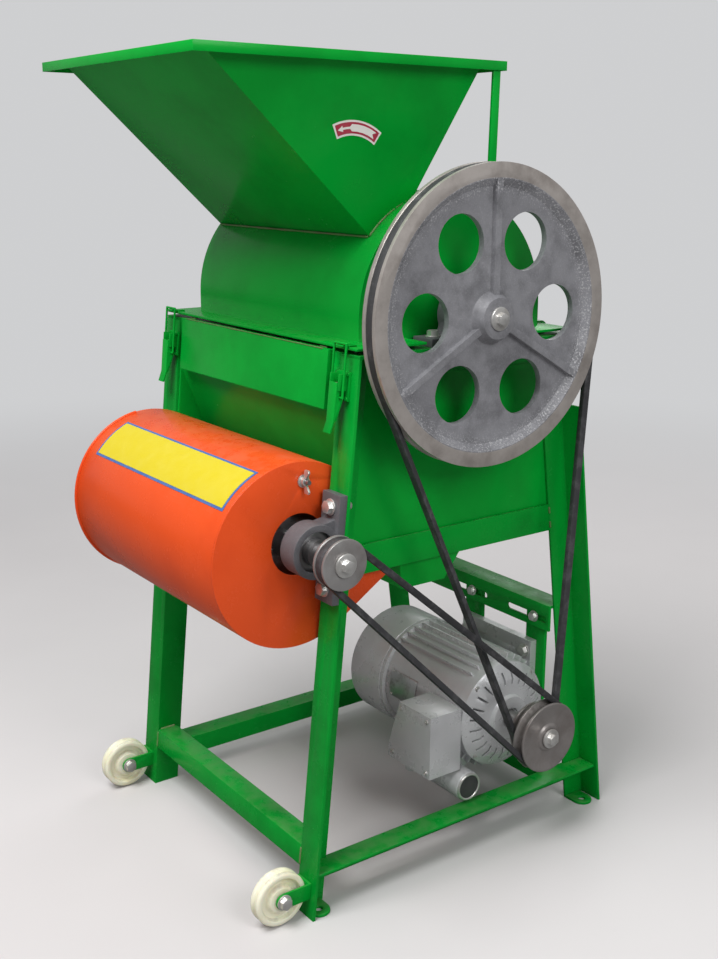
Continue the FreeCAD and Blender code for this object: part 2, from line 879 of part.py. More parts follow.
def lever(x):
    """Folded lever: two cheeks on the pin and a front plate down to its lifted tip."""
    half, t = lever_w / 2, lever_t
    n0, n1 = latch_base_t + lever_t + close_gap, latch_pin_off + 2 * latch_pin_r
    top = latch_pin_z + latch_pin_off - latch_base_t - latch_pin_r
    low = lever_tip_z + lever_w
    cheek = [(-n0, bail_pivot_z - 2 * t), (-n0, top), (-n1, top), (-n1, low), (-n1 + t, low)]
    parts = []
    for x0 in (x - half, x + half - t):
        parts.append(prism_x(cheek, x0, x0 + t))
    parts.append(block(x - half, x + half, -n1 - t, -n1, low, top))
    parts.append(prism_x([(-n1 - t, low), (-n1, low), (-n1 - 2 * t, lever_tip_z),
                          (-n1 - 3 * t, lever_tip_z)],
                         x - half, x + half))
    out = fuse(parts)
    out = out.cut(rod_x(latch_pin_r + latch_pin_fit, x - half, x + half, -latch_pin_off, latch_pin_z))
    out = out.cut(rod_x(bail_wire_r + latch_pin_fit, x - half, x + half, -latch_pin_off, bail_pivot_z))
    return on_leg(out)


def bail(x):
    r, h = bail_wire_r, bail_half
    top = leg_s(bail_top_z, latch_pin_off)
    parts = []
    for dx in (-h, h):
        parts.append(rod_z(r, bail_pivot_z, top, x + dx, -latch_pin_off))
        for z in (bail_pivot_z, top):
            parts.append(Part.makeSphere(r, V(x + dx, -latch_pin_off, z)))
    parts.append(rod_x(r, x - h, x + h, -latch_pin_off, top))
    inner = lever_w / 2 - 2 * lever_t
    parts.append(rod_x(r, x - h, x - inner, -latch_pin_off, bail_pivot_z))
    parts.append(rod_x(r, x + inner, x + h, -latch_pin_off, bail_pivot_z))
    return on_leg(fuse(parts))


def latch_catch(x):
    """Lug on the cover flange that the bail's top bar hangs on."""
    half = lever_w / 2
    a = math.radians(lean)
    s = leg_s(bail_top_z, latch_pin_off)
    wire_y = front_foot_y + s * math.sin(a) - latch_pin_off * math.cos(a)
    z0 = cover_flange_z0 + cover_flange_t
    z1 = bail_top_z - bail_wire_r - close_gap
    t = lever_t
    y0, y1 = wire_y - t, cover_front_y + 4 * sheet
    foot = block(x - half, x + half, cover_front_y, y1, z0, z0 + t)
    nose = prism_x([(cover_front_y, z0), (cover_front_y, z1), (y0, z1), (y0, z1 - t),
                    (cover_front_y - t, z0)],
                   x - half, x + half)
    return fuse([foot, nose])


# Bearings, in their own axes: base on z = 0, shaft along X
def block_housing():
    w, base = block_w / 2, block_base_t
    ring = rod_x(block_ring_r, -w, w, 0, block_h)
    foot = block(-w, w, -block_len / 2, block_len / 2, 0, base)
    spread = block_ring_r + base * 0.4
    flank = prism_x([(-spread, base), (-block_ring_r * 0.9, block_h), (block_ring_r * 0.9, block_h),
                     (spread, base)], -w * 0.6, w * 0.6)
    out = fuse([ring, foot, flank]).cut(rod_x(insert_r, -w, w, 0, block_h))
    trim = rod_x(block_ring_r + base, w * 0.8, w, 0,
                 block_h).fuse(rod_x(block_ring_r + base, -w, -w * 0.8, 0, block_h))
    out = out.cut(trim.cut(block(-w, w, -block_len, block_len, 0, base)))
    for y in (-block_bolt, block_bolt):
        out = out.cut(rod_z(motor_bolt_r, 0, base, 0, y))
    return out


def insert_ring():
    return ring_x(insert_r, inner_ring_r + axle_fit, -insert_w / 2, insert_w / 2, 0, block_h)


def inner_ring():
    half = inner_ring_len / 2
    return ring_x(inner_ring_r, shaft_r, inner_ring_off - half, inner_ring_off + half, 0, block_h)


def block_bolts(plate):
    out = []
    for y in (-block_bolt, block_bolt):
        out.append(put(bolt(motor_bolt_r, block_base_t + plate), (0, y, block_base_t), (0, 0, 1)))
    return out


def at_drum(shapes):
    out = []
    for one in shapes:
        moved = one.copy()
        moved.translate(V(block_x, drum_y, deck_z))
        out.extend(both(moved))
    return out


fan_y = front_y(fan_z) - block_h / math.cos(math.radians(lean))
gate_y = fan_y + gate_off
gate_z = fan_case_z + fan_case_r - gate_drop


def at_fan(shapes):
    out = []
    for one in shapes:
        moved = one.copy()
        moved.rotate(V(0, 0, 0), V(1, 0, 0), 90)
        moved.translate(V(fan_block_x, 0, leg_s(fan_z, block_h)))
        out.extend(both(on_leg(moved)))
    return out


# Drum
def end_bolt(r, x, y, z, cap_r):
    """Bolt and large washer that hold a pulley on its shaft end."""
    washer = rod_x(cap_r, x, x + sheet, y, z)
    head = put(hex_prism(head_share * r, head_h_share * 2 * r), (x + sheet, y, z), (1, 0, 0))
    return fuse([washer, head, rod_x(r, x - 4 * r, x + sheet, y, z)])


def drum_shaft():
    out = rod_x(shaft_r, drum_shaft_x0, drum_shaft_x1, drum_y, drum_z)
    out = out.cut(rod_x(axle_r, drum_shaft_x1 - 4 * axle_r, drum_shaft_x1, drum_y, drum_z))
    return out.cut(drum_key())


def drum_key():
    half, h = shaft_r / 3, shaft_r / 3
    x0, x1 = pulley_hub_x0, pulley_hub_x1 - sheet
    return block(x0, x1, drum_y - half, drum_y + half, drum_z + shaft_r - h, drum_z + shaft_r + h * 0.8)


def beater_bars():
    out = []
    for k in range(beater_n):
        bar = block(-beater_half, beater_half, drum_y - beater_t / 2, drum_y + beater_t / 2,
                    drum_z + beater_r - beater_w, drum_z + beater_r)
        out.append(spin(bar, drum_y, drum_z, 45 + 360 / beater_n * k))
    return out


def drum_discs():
    out = []
    bars = beater_bars()
    for x in disc_x:
        disc = fuse([rod_x(disc_r, x - disc_t / 2, x + disc_t / 2, drum_y, drum_z),
                     rod_x(hub_r, x - hub_len / 2, x + hub_len / 2, drum_y, drum_z)])
        disc = disc.cut(rod_x(shaft_r, x - hub_len, x + hub_len, drum_y, drum_z))
        for one in bars:
            disc = disc.cut(one)
        out.append(disc)
    return out


def groove(x, r):
    """Corner points of a belt groove with its middle at x."""
    return [(x - groove_top / 2, r), (x - groove_low / 2, r - groove_depth),
            (x + groove_low / 2, r - groove_depth), (x + groove_top / 2, r)]


def drum_pulley():
    r, x1 = drum_pulley_r, pulley_x1
    x0 = x1 - pulley_w
    xm = (x0 + x1) / 2
    web0, web1 = xm - pulley_web_t / 2, xm + pulley_web_t / 2
    profile = [(x0, pulley_rim_in), (x0, r)] + groove(drum_belt_x, r)
    profile += [(x1, r), (x1, pulley_rim_in), (web1, pulley_rim_in - pulley_web_t),
                (web1, pulley_hub_r + pulley_rib_h),
                (pulley_hub_x1, pulley_hub_r), (pulley_hub_x1, shaft_r), (pulley_hub_x0, shaft_r),
                (pulley_hub_x0, pulley_hub_r), (web0, pulley_hub_r + pulley_rib_h),
                (web0, pulley_rim_in - pulley_web_t)]
    out = turned(profile, drum_y, drum_z)
    w = pulley_rib_w / 2
    for k in range(3):
        for face, deep in ((web1, pulley_rib_h), (web0, -pulley_rib_h)):
            x_a, x_b = min(face, face + deep), max(face, face + deep)
            rib = block(x_a, x_b, drum_y + shaft_r + pulley_rib_h, drum_y + pulley_rim_in, drum_z - w,
                        drum_z + w)
            out = out.fuse(spin(rib, drum_y, drum_z, 90 + 120 * k))
    for k in range(6):
        a = math.radians(60 * k)
        y, z = drum_y + pulley_hole_pitch * math.cos(a), drum_z + pulley_hole_pitch * math.sin(a)
        out = out.cut(rod_x(pulley_hole_r, x0, x1, y, z))
    out = out.cut(rod_x(shaft_r, pulley_hub_x0, pulley_hub_x1, drum_y, drum_z))
    return out.cut(drum_key()).removeSplitter()


# Belts
def belt(x, ya, za, ra, yb, zb, rb):
    """Closed V belt round two pulleys, given the radii of their rims."""
    ra, rb = ra - belt_inset, rb - belt_inset
    gap = math.hypot(yb - ya, zb - za)
    line = math.degrees(math.atan2(zb - za, yb - ya))
    open_a = math.degrees(math.acos((ra - rb) / gap))

    def section(y, z, r, deg):
        a = math.radians(deg)
        cy, cz = math.cos(a), math.sin(a)
        face = poly([V(x - belt_top / 2, y + r * cy, z + r * cz),
                     V(x + belt_top / 2, y + r * cy, z + r * cz),
                     V(x + belt_low / 2, y + (r - belt_h) * cy, z + (r - belt_h) * cz),
                     V(x - belt_low / 2, y + (r - belt_h) * cy, z + (r - belt_h) * cz)])
        return face, V(0, y + r * cy, z + r * cz)

    parts = []
    for deg in (line - open_a, line + open_a):
        face, start = section(ya, za, ra, deg)
        end = section(yb, zb, rb, deg)[1]
        parts.append(face.extrude(end - start))
    face = section(ya, za, ra, line + open_a)[0]
    parts.append(face.revolve(V(0, ya, za), V(1, 0, 0), 360 - 2 * open_a))
    face = section(yb, zb, rb, line - open_a)[0]
    parts.append(face.revolve(V(0, yb, zb), V(1, 0, 0), 2 * open_a))
    return fuse(parts)


# Fan
def arc_point(deg):
    a = math.radians(deg)
    return fan_case_y + fan_case_r * math.cos(a), fan_case_z + fan_case_r * math.sin(a)


def duct_outline():
    centre = (fan_case_y, fan_case_z)
    return [centre, arc_point(duct_low_angle), duct_low, duct_up, arc_point(duct_up_angle)]


def fan_profile(inset, half):
    """Round casing with its duct, moved in by the inset."""
    out = rod_x(fan_case_r - inset, -half, half, fan_case_y, fan_case_z)
    points = duct_outline()
    if inset:
        face = poly([V(-half, y, z) for y, z in points])
        dy, dz = duct_low[0] - arc_point(duct_low_angle)[0], duct_low[1] - arc_point(duct_low_angle)[1]
        size = math.hypot(dy, dz)
        dy, dz = dy / size, dz / size
        low, up = arc_point(duct_low_angle), arc_point(duct_up_angle)
        far = 2 * fan_sheet
        points = [(fan_case_y, fan_case_z), (low[0] - dz * inset, low[1] + dy * inset),
                  (duct_low[0] - dz * inset + dy * far, duct_low[1] + dy * inset + dz * far),
                  (duct_up[0] + dz * inset + dy * far, duct_up[1] - dy * inset + dz * far),
                  (up[0] + dz * inset, up[1] - dy * inset)]
        face = poly([V(-half, y, z) for y, z in points])
        return out.fuse(face.extrude(V(2 * half, 0, 0)))
    return fuse([out, prism_x(points, -half, half)])


def fan_scroll():
    return fan_profile(0, fan_half).cut(fan_profile(fan_sheet, fan_half)).removeSplitter()


def fan_cheek(right):
    out = fan_profile(0, fan_half + cheek_t).common(block(fan_half, fan_half + cheek_t,
                                                          fan_case_y - 2 * fan_case_r,
                                                          duct_up[0] + sheet, 0, drum_z))
    out = out.cut(rod_x(inlet_r, fan_half, fan_half + cheek_t, fan_y, fan_z))
    if right:
        return out.cut(rod_x(gate_stud_r + gate_stud_fit, fan_half, fan_half + cheek_t, gate_y, gate_z))
    return mirror_x(out)


def fan_mounts():
    """Packing strips welded between the fan casing and the front legs and side panels."""
    x0 = fan_half + cheek_t
    low = prism_x([(front_y(z) + angle_t * 3, z) for z in (mid_rail_z0 - rail_drop, panel_z0 - sheet)]
                  + [(front_y(z) + angle_t * 6, z) for z in (panel_z0 - sheet, mid_rail_z0 - rail_drop)],
                  x0, leg_in)
    top = prism_x([(front_y(z) + angle_t * 3, z) for z in (panel_z0 + sheet, duct_up[1])]
                  + [(front_y(z) + angle_t * 6, z) for z in (duct_up[1], panel_z0 + sheet)],
                  x0, panel_half - sheet)
    return both(low) + both(top)


def inlet_gate():
    """Gate in the open position, turning on its stud inside the right cheek."""
    x1 = fan_half - gate_gap
    x0 = x1 - gate_t
    reach = math.hypot(fan_y - gate_y, fan_z - gate_z)
    hang = math.degrees(math.atan2(fan_z - gate_z, fan_y - gate_y))
    disc = rod_x(gate_r, x0, x1, gate_y + reach, gate_z)
    arm = block(x0, x1, gate_y, gate_y + reach, gate_z - 2 * gate_stud_r, gate_z + 2 * gate_stud_r)
    out = fuse([disc, arm, rod_x(3 * gate_stud_r, x0, x1, gate_y, gate_z)])
    slot = ring_x(reach + gate_slot, reach - gate_slot, x0, x1, gate_y, gate_z)
    points = [(gate_y, gate_z)]
    for k in range(9):
        a = math.radians(gate_swing_angle * k / 8)
        points.append((gate_y + 2 * reach * math.cos(a), gate_z + 2 * reach * math.sin(a)))
    slot = slot.common(prism_x(points, x0, x1))
    slot = slot.fuse(rod_x(gate_slot, x0, x1, gate_y + reach, gate_z))
    out = spin(out.cut(slot), gate_y, gate_z, hang - gate_swing_angle)
    stud = rod_x(gate_stud_r, x0, fan_half + cheek_t + wing_top, gate_y, gate_z)
    return fuse([out, stud])


def wing_nut():
    x0 = fan_half + cheek_t + gate_gap
    r, span = wing_r, wing_span
    body = rod_x(r, x0, x0 + wing_h, gate_y, gate_z)
    wing = prism_y([(x0 + wing_h / 3, gate_z + r / 2), (x0 + wing_h, gate_z + r / 2),
                    (x0 + wing_top, gate_z + span * 0.8),
                    (x0 + wing_top * 0.9, gate_z + span), (x0 + wing_h * 0.7, gate_z + span)],
                   gate_y - r / 4, gate_y + r / 4)
    other = spin(wing, gate_y, gate_z, 180)
    flange = rod_x(r * 1.5, x0, x0 + r / 4, gate_y, gate_z)
    out = fuse([body, wing, other, flange])
    return out.cut(rod_x(gate_stud_r + gate_stud_fit, x0, x0 + wing_top, gate_y, gate_z))


def fan_shaft():
    out = rod_x(shaft_r, fan_shaft_x0, fan_shaft_x1, fan_y, fan_z)
    return out.cut(rod_x(axle_r, fan_shaft_x1 - 4 * axle_r, fan_shaft_x1, fan_y, fan_z))


def fan_impeller():
    parts = []
    for x in (-impeller_half + disc_t, 0, impeller_half - disc_t):
        parts.append(rod_x(hub_r, x - disc_t, x + disc_t, fan_y, fan_z))
        parts.append(rod_x(impeller_r * 0.6, x - sheet / 2, x + sheet / 2, fan_y, fan_z))
    for k in range(impeller_n):
        blade = block(-impeller_half, impeller_half, fan_y + hub_r * 0.9, fan_y + impeller_r,
                      fan_z - fan_sheet / 2, fan_z + fan_sheet / 2)
        parts.append(spin(blade, fan_y, fan_z, 20 + 360 / impeller_n * k))
    return fuse(parts).cut(rod_x(shaft_r, -impeller_half, impeller_half, fan_y, fan_z))


def fan_pulley():
    r, w = fan_pulley_r, fan_pulley_w / 2
    x0, x1 = fan_belt_x - w, fan_belt_x + w
    profile = [(x0, shaft_r), (x0, r)] + groove(fan_belt_x, r) + [(x1, r), (x1, shaft_r)]
    hub = ring_x(hub_r * 0.8, shaft_r, x0 - hub_len / 2, x0, fan_y, fan_z)
    return fuse([turned(profile, fan_y, fan_z), hub])


# Motor
def motor_frame():
    """Finned stator housing with its foot plate, box seat and capacitor saddle."""
    parts = [rod_x(body_r, body_x0, body_x1, motor_y, motor_z)]
    for k in range(fin_n):
        deg = 360 / fin_n * (k + 0.5)
        fin = block(body_x0, body_x1, motor_y + bore_r, motor_y + fin_r,
                    motor_z - fin_t / 2, motor_z + fin_t / 2)
        if 40 < deg < 320 and not 125 < deg < 225:
            parts.append(spin(fin, motor_y, motor_z, deg))
    back = motor_y + motor_foot_h
    plate = block(foot_x0, foot_x1, back - foot_t, back, motor_z - foot_half, motor_z + foot_half)
    for x in motor_bolt_x:
        for dz in (-motor_bolt_dz, motor_bolt_dz):
            plate = plate.cut(rod_y(motor_bolt_r, back - foot_t, back, x, motor_z + dz))
    parts.append(plate)
    web = bore_r * 0.75
    parts.append(block(foot_x0 + foot_t, foot_x1 - foot_t, motor_y + bore_r / 2, back - foot_t,
                       motor_z - web, motor_z + web))
    inset = foot_t * 0.6
    seat_x0 = box_x0 + box_cut + inset
    parts.append(block(seat_x0, body_x1 - inset, box_y1, motor_y, box_z0 + inset, box_z1 - inset))
    saddle = block(cap_x0 + inset, body_x1 - inset, motor_y + bore_r, motor_y + fin_r + foot_t,
                   motor_z - foot_t, motor_z + foot_t)
    deg = math.degrees(math.atan2(cap_z - motor_z, cap_y - motor_y))
    parts.append(spin(saddle, motor_y, motor_z, deg))
    out = parts[0].multiFuse(parts[1:])
    out = out.cut(rod_x(bore_r, body_x0, body_x1, motor_y, motor_z))
    return out.cut(rod_x(cap_r, cap_x0, cap_x1, cap_y, cap_z)).removeSplitter()


def end_shields():
    r, t = body_r, foot_t * 0.6
    x1, x2 = body_x1, body_x1 + shield_t
    seat = bearing_r
    front = [(x1, r), (x1 + shield_t * 0.45, r), (x1 + shield_t * 0.8, r * 0.72),
             (x1 + shield_t * 0.8, r * 0.42),
             (x2, r * 0.4), (x2, motor_shaft_r + sheet), (x2 - sheet, motor_shaft_r + sheet),
             (x2 - sheet, seat),
             (x1, seat), (x1, seat + t), (x1 + shield_t * 0.8 - t, seat + t),
             (x1 + shield_t * 0.4 - t, r - t), (x1, r - t)]
    bell = turned(front, motor_y, motor_z)
    for k in range(vent_n):
        vent = block(x1 + shield_t / 2, x2, motor_y + vent_shares[0] * r, motor_y + vent_shares[1] * r,
                     motor_z - vent_w / 2, motor_z + vent_w / 2)
        bell = bell.cut(spin(vent, motor_y, motor_z, 360 / vent_n * (k + 0.5)))
    x3, x4 = rear_shield_x0, body_x0
    rear = [(x3, seat), (x3, cowl_r - cowl_t), (x4, cowl_r - cowl_t), (x4, r - t), (x4 - t / 2, r - t),
            (x4 - t / 2, seat + t), (x4, seat + t), (x4, seat)]
    return [bell, turned(rear, motor_y, motor_z)]


def motor_bearings():
    x2 = body_x1 + shield_t - sheet
    w = foot_t
    out = []
    for x0, x1 in ((x2 - w, x2), (rear_shield_x0, rear_shield_x0 + w)):
        out.append(ring_x(bearing_r, motor_shaft_r + axle_fit, x0, x1, motor_y, motor_z))
    return out


def stator():
    inner = rotor_r + air_gap
    lug = foot_t * 1.25
    x0, x1 = body_x0 + 2 * lug, body_x1 - 2 * lug
    core = ring_x(bore_r, inner, x0, x1, motor_y, motor_z)
    coils = [ring_x(bore_r - sheet, inner + 2 * sheet, a, b, motor_y, motor_z) for a,
             b in ((x0 - lug, x0), (x1, x1 + lug))]
    return fuse([core] + coils)


def motor_rotor():
    lug = foot_t * 1.25
    x0, x1 = body_x0 + 2 * lug, body_x1 - 2 * lug
    return ring_x(rotor_r, motor_shaft_r, x0, x1, motor_y, motor_z)


def motor_shaft():
    out = rod_x(motor_shaft_r, cowl_x0 + foot_t, motor_shaft_x1, motor_y, motor_z)
    return out.cut(rod_x(axle_r, motor_shaft_x1 - 4 * axle_r, motor_shaft_x1, motor_y, motor_z))


def motor_fan():
    x1 = rear_shield_x0 - foot_t
    x0 = x1 - 2 * foot_t
    parts = [rod_x(hub_r * 0.8, x0, x1, motor_y, motor_z),
             rod_x(bore_r, x1 - cowl_t, x1, motor_y, motor_z)]
    for k in range(8):
        blade = block(x0, x1, motor_y + hub_r * 0.7, motor_y + bore_r,
                      motor_z - cowl_t / 2, motor_z + cowl_t / 2)
        parts.append(spin(blade, motor_y, motor_z, 45 * k))
    return fuse(parts).cut(rod_x(motor_shaft_r, x0, x1, motor_y, motor_z))


def fan_cowl():
    x0, x1 = cowl_x0, rear_shield_x0 + foot_t / 2
    out = rod_x(cowl_r, x0, x1, motor_y, motor_z)
    out = out.cut(rod_x(cowl_r - cowl_t, x0 + cowl_t, x1, motor_y, motor_z))
    w = cowl_t * 1.5
    for k in range(-3, 4):
        z = motor_z + 6 * w * k
        half = math.sqrt((bore_r * 0.85) ** 2 - (z - motor_z) ** 2)
        out = out.cut(block(x0, x0 + cowl_t, motor_y - half, motor_y + half, z - w, z + w))
    return out


def box_outline(inset):
    x0, x1 = box_x0 + inset, box_x1 - inset
    z0, z1 = box_z0 + inset, box_z1 - inset
    return [(x0, z0), (x0, box_z0 + box_low), (x0 + box_cut, z1), (x1, z1), (x1, z0)]


def terminal_box():
    """Closed box with one slanted corner and a cord gland below."""
    t = sheet
    out = prism_y(box_outline(0), box_y0, box_y1).cut(prism_y(box_outline(t), box_y0 + t, box_y1 - t))
    x, y = (box_x0 + box_x1) / 2 - foot_t, (box_y0 + box_y1) / 2 - foot_t
    gland = rod_z(foot_t * 0.8, box_z0 - foot_t, box_z0, x, y)
    out = fuse([out, gland])
    return out.cut(rod_z(foot_t * 0.4, box_z0 - foot_t, box_z0 + t, x, y))


def capacitor():
    return rod_x(cap_r, cap_x0, cap_x1, cap_y, cap_z)


def motor_pulley():
    r, rd = motor_groove_r, motor_disc_r
    x0 = drum_belt_x - groove_top / 2 - sheet
    x1 = fan_belt_x - groove_top / 2 - sheet
    x2 = fan_belt_x + groove_top / 2 + sheet
    dish = sheet
    profile = [(x0, motor_shaft_r), (x0, r)] + groove(drum_belt_x, r) + [(x1, r),
                                                                         (x1, rd)] + groove(fan_belt_x,
                                                                                            rd)
    profile += [(x2, rd), (x2, rd - sheet), (x2 - dish, rd - 4 * dish), (x2 - dish, 7 * dish),
                (x2, 6 * dish),
                (x2, motor_shaft_r)]
    return turned(profile, motor_y, motor_z)


# The whole machine
def bored_leg():
    out = leg(True)
    s = leg_s(fan_z, block_h)
    for ds in (-block_bolt, block_bolt):
        out = out.cut(on_leg(rod_y(motor_bolt_r, -angle_t, 2 * angle_t, fan_block_x, s + ds)))
    return out


def build():
    save("front_legs", both(bored_leg()))
    save("rear_legs", both(leg(False)))
    save("foot_pads", both(foot_pad(True)) + both(foot_pad(False)))
    save("low_side_rails", both(low_side_rail()))
    save("low_cross_rails", [low_front_rail(), low_rear_rail()])
    save("mid_side_rails", both(side_plate(mid_rail_z0, mid_rail_z1)))
    save("top_rails", both(top_side_rail()) + [top_cross_rail(True), top_cross_rail(False)])
    save("motor_rails", [motor_upper_rail(), motor_lower_rail()])
    save("motor_bars", motor_bars())
    save("motor_bolts", motor_bolts())
    save("wheel_forks", [wheel_fork(wheel_right_x), wheel_fork(wheel_left_x)])
    save("wheel_bolts", [wheel_bolt(wheel_right_x), wheel_bolt(wheel_left_x)])
    save("right_wheel", [wheel(wheel_right_x)])
    save("left_wheel", [wheel(wheel_left_x)])
    save("side_panels", both(side_panel()) + fan_mounts())
    save("front_strip", [front_strip()])
    save("end_panels", [front_slope_panel(), rear_panel()])
    save("concave_screen", [concave_screen()])
    save("chutes", [husk_floor(), kernel_chute()])

    save("cover", [upper_housing()])
    save("hopper", [hopper()])
    save("hopper_stays", both(hopper_stay()))
    save("cover_leaves", [cover_leaf(-hinge_x), cover_leaf(hinge_x)])
    save("latch_catches", [latch_catch(-latch_x), latch_catch(latch_x)])
    save("frame_leaves", [frame_leaf(-hinge_x), frame_leaf(hinge_x), hinge_pin(-hinge_x),
                          hinge_pin(hinge_x)])
    save("latch_bases", [latch_base(-latch_x), latch_base(latch_x)])
    save("right_lever", [lever(latch_x)])
    save("left_lever", [lever(-latch_x)])
    save("right_bail", [bail(latch_x)])
    save("left_bail", [bail(-latch_x)])

    save("pillow_blocks", at_drum([block_housing()]) + at_fan([block_housing()]))
    save("block_inserts", at_drum([insert_ring()]) + at_fan([insert_ring()]))
    leg_depth = angle_t * math.cos(math.radians(lean))
    save("block_bolts", at_drum(block_bolts(angle_t)) + at_fan(block_bolts(leg_depth)))
    save("drum_inner_rings", at_drum([inner_ring()]))
    save("drum_shaft", [drum_shaft()])
    save("drum_discs", drum_discs())
    save("beater_bars", beater_bars())
    save("drum_pulley", [drum_pulley()])
    save("drum_end_bolt", [end_bolt(axle_r, drum_shaft_x1, drum_y, drum_z, 3 * axle_r), drum_key()])

    save("fan_scroll", [fan_scroll()])
    save("fan_cheeks", [fan_cheek(True), fan_cheek(False)])
    save("inlet_gate", [inlet_gate()])
    save("wing_nut", [wing_nut()])
    save("fan_inner_rings", at_fan([inner_ring()]))
    save("fan_shaft", [fan_shaft()])
    save("fan_impeller", [fan_impeller()])
    save("fan_pulley", [fan_pulley()])
    save("fan_end_bolt", [end_bolt(axle_r, fan_shaft_x1, fan_y, fan_z, 3 * axle_r)])

    save("motor_frame", [motor_frame()])
    save("end_shields", end_shields() + motor_bearings())
    save("stator", [stator()])
    save("motor_rotor", [motor_rotor(), motor_shaft()])
    save("motor_fan", [motor_fan()])
    save("fan_cowl", [fan_cowl()])
    save("terminal_box", [terminal_box()])
    save("capacitor", [capacitor()])
    save("motor_pulley", [motor_pulley()])
    save("motor_end_bolt", [end_bolt(axle_r, motor_shaft_x1, motor_y, motor_z, 2.8 * axle_r)])

    save("drum_belt", [belt(drum_belt_x, drum_y, drum_z, drum_pulley_r, motor_y, motor_z,
                            motor_groove_r)])
    save("fan_belt", [belt(fan_belt_x, fan_y, fan_z, fan_pulley_r, motor_y, motor_z, motor_disc_r)])


build()
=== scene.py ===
import bmesh
import bpy
import json
import math
from mathutils import Matrix, Vector


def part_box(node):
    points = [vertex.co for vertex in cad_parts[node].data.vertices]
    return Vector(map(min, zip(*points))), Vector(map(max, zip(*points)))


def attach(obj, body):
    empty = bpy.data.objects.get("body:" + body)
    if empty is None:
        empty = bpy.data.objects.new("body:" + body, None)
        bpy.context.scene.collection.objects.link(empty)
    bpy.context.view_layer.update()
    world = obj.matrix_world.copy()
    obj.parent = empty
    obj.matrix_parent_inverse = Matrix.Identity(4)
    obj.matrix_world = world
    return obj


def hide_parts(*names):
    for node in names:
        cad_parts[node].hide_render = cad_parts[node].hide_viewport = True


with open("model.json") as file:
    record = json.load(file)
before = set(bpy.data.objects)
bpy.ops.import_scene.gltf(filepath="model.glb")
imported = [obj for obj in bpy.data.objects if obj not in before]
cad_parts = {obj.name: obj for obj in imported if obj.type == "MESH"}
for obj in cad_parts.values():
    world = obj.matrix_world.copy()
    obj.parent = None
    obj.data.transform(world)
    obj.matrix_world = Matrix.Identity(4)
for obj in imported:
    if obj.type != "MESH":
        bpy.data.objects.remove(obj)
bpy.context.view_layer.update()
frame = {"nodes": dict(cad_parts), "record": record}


# The studio: a pale floor that meets a pale surround, with a large soft lamp high in
# front, a smaller one on the right and a weak one behind.
far_color = (0.62, 0.625, 0.635, 1)
room_color = (0.38, 0.37, 0.37, 1)
mirrored_color = (0.13, 0.13, 0.13, 1)
floor_colors = ((0.62, 0.60, 0.60, 1), (0.66, 0.64, 0.64, 1))
floor_side = 24
haze_start, haze_end = 1.2, 3.6
surround_level = 0.46


def maths(tree, how, a, b=None, clamp=False):
    node = tree.nodes.new("ShaderNodeMath")
    node.operation = how
    node.use_clamp = clamp
    for k, value in enumerate((a, b)):
        if value is None:
            continue
        if isinstance(value, (int, float)):
            node.inputs[k].default_value = value
        else:
            tree.links.new(value, node.inputs[k])
    return node.outputs[0]


def blend_colors(tree, factor, a, b):
    node = tree.nodes.new("ShaderNodeMix")
    node.data_type = "RGBA"
    for name, value in (("Factor", factor), ("A", a), ("B", b)):
        if isinstance(value, (int, float, tuple)):
            node.inputs[name].default_value = value
        else:
            tree.links.new(value, node.inputs[name])
    return node.outputs["Result"]


def noise(tree, place, scale, detail=4.0, rough=0.55):
    node = tree.nodes.new("ShaderNodeTexNoise")
    node.inputs["Detail"].default_value = detail
    node.inputs["Roughness"].default_value = rough
    tree.links.new(place, node.inputs["Vector"])
    if isinstance(scale, (int, float)):
        node.inputs["Scale"].default_value = scale
    else:
        tree.links.new(scale, node.inputs["Scale"])
    return node.outputs["Fac"]


def band(tree, value, low, high):
    """0 under low, 1 over high, smooth between."""
    node = tree.nodes.new("ShaderNodeMapRange")
    node.interpolation_type = "SMOOTHSTEP"
    node.inputs["From Min"].default_value = low
    node.inputs["From Max"].default_value = high
    tree.links.new(value, node.inputs["Value"])
    return node.outputs["Result"]


# The floor is pale to the camera, grey to the part and dark in its gloss; far off it takes
# the surround's colour, so that no edge shows.
floor_surface = bpy.data.materials.new("floor_surface")
floor_surface.use_nodes = True
tree = floor_surface.node_tree
shader = tree.nodes["Principled BSDF"]
shader.inputs["Roughness"].default_value = 0.85
shader.inputs["Specular IOR Level"].default_value = 0.2
ray = tree.nodes.new("ShaderNodeLightPath").outputs
place = tree.nodes.new("ShaderNodeTexCoord").outputs["Object"]
mottled = blend_colors(tree, noise(tree, place, 3.0, 3.0, 0.5), *floor_colors)
room = blend_colors(tree, ray["Is Glossy Ray"], room_color, mirrored_color)
tree.links.new(blend_colors(tree, ray["Is Camera Ray"], room, mottled), shader.inputs["Base Color"])
reach = tree.nodes.new("ShaderNodeVectorMath")
reach.operation = "LENGTH"
tree.links.new(place, reach.inputs[0])
away = band(tree, reach.outputs["Value"], haze_start, haze_end)
haze = tree.nodes.new("ShaderNodeEmission")
haze.inputs["Color"].default_value = far_color
both = tree.nodes.new("ShaderNodeMixShader")
tree.links.new(maths(tree, "MULTIPLY", away, ray["Is Camera Ray"]), both.inputs["Fac"])
tree.links.new(shader.outputs["BSDF"], both.inputs[1])
tree.links.new(haze.outputs["Emission"], both.inputs[2])
tree.links.new(both.outputs["Shader"], tree.nodes["Material Output"].inputs["Surface"])

bpy.ops.object.select_all(action="DESELECT")
bpy.ops.mesh.primitive_plane_add(size=floor_side, location=(0, 0, 0))
floor = bpy.context.object
floor.name = "floor"
floor.data.materials.append(floor_surface)

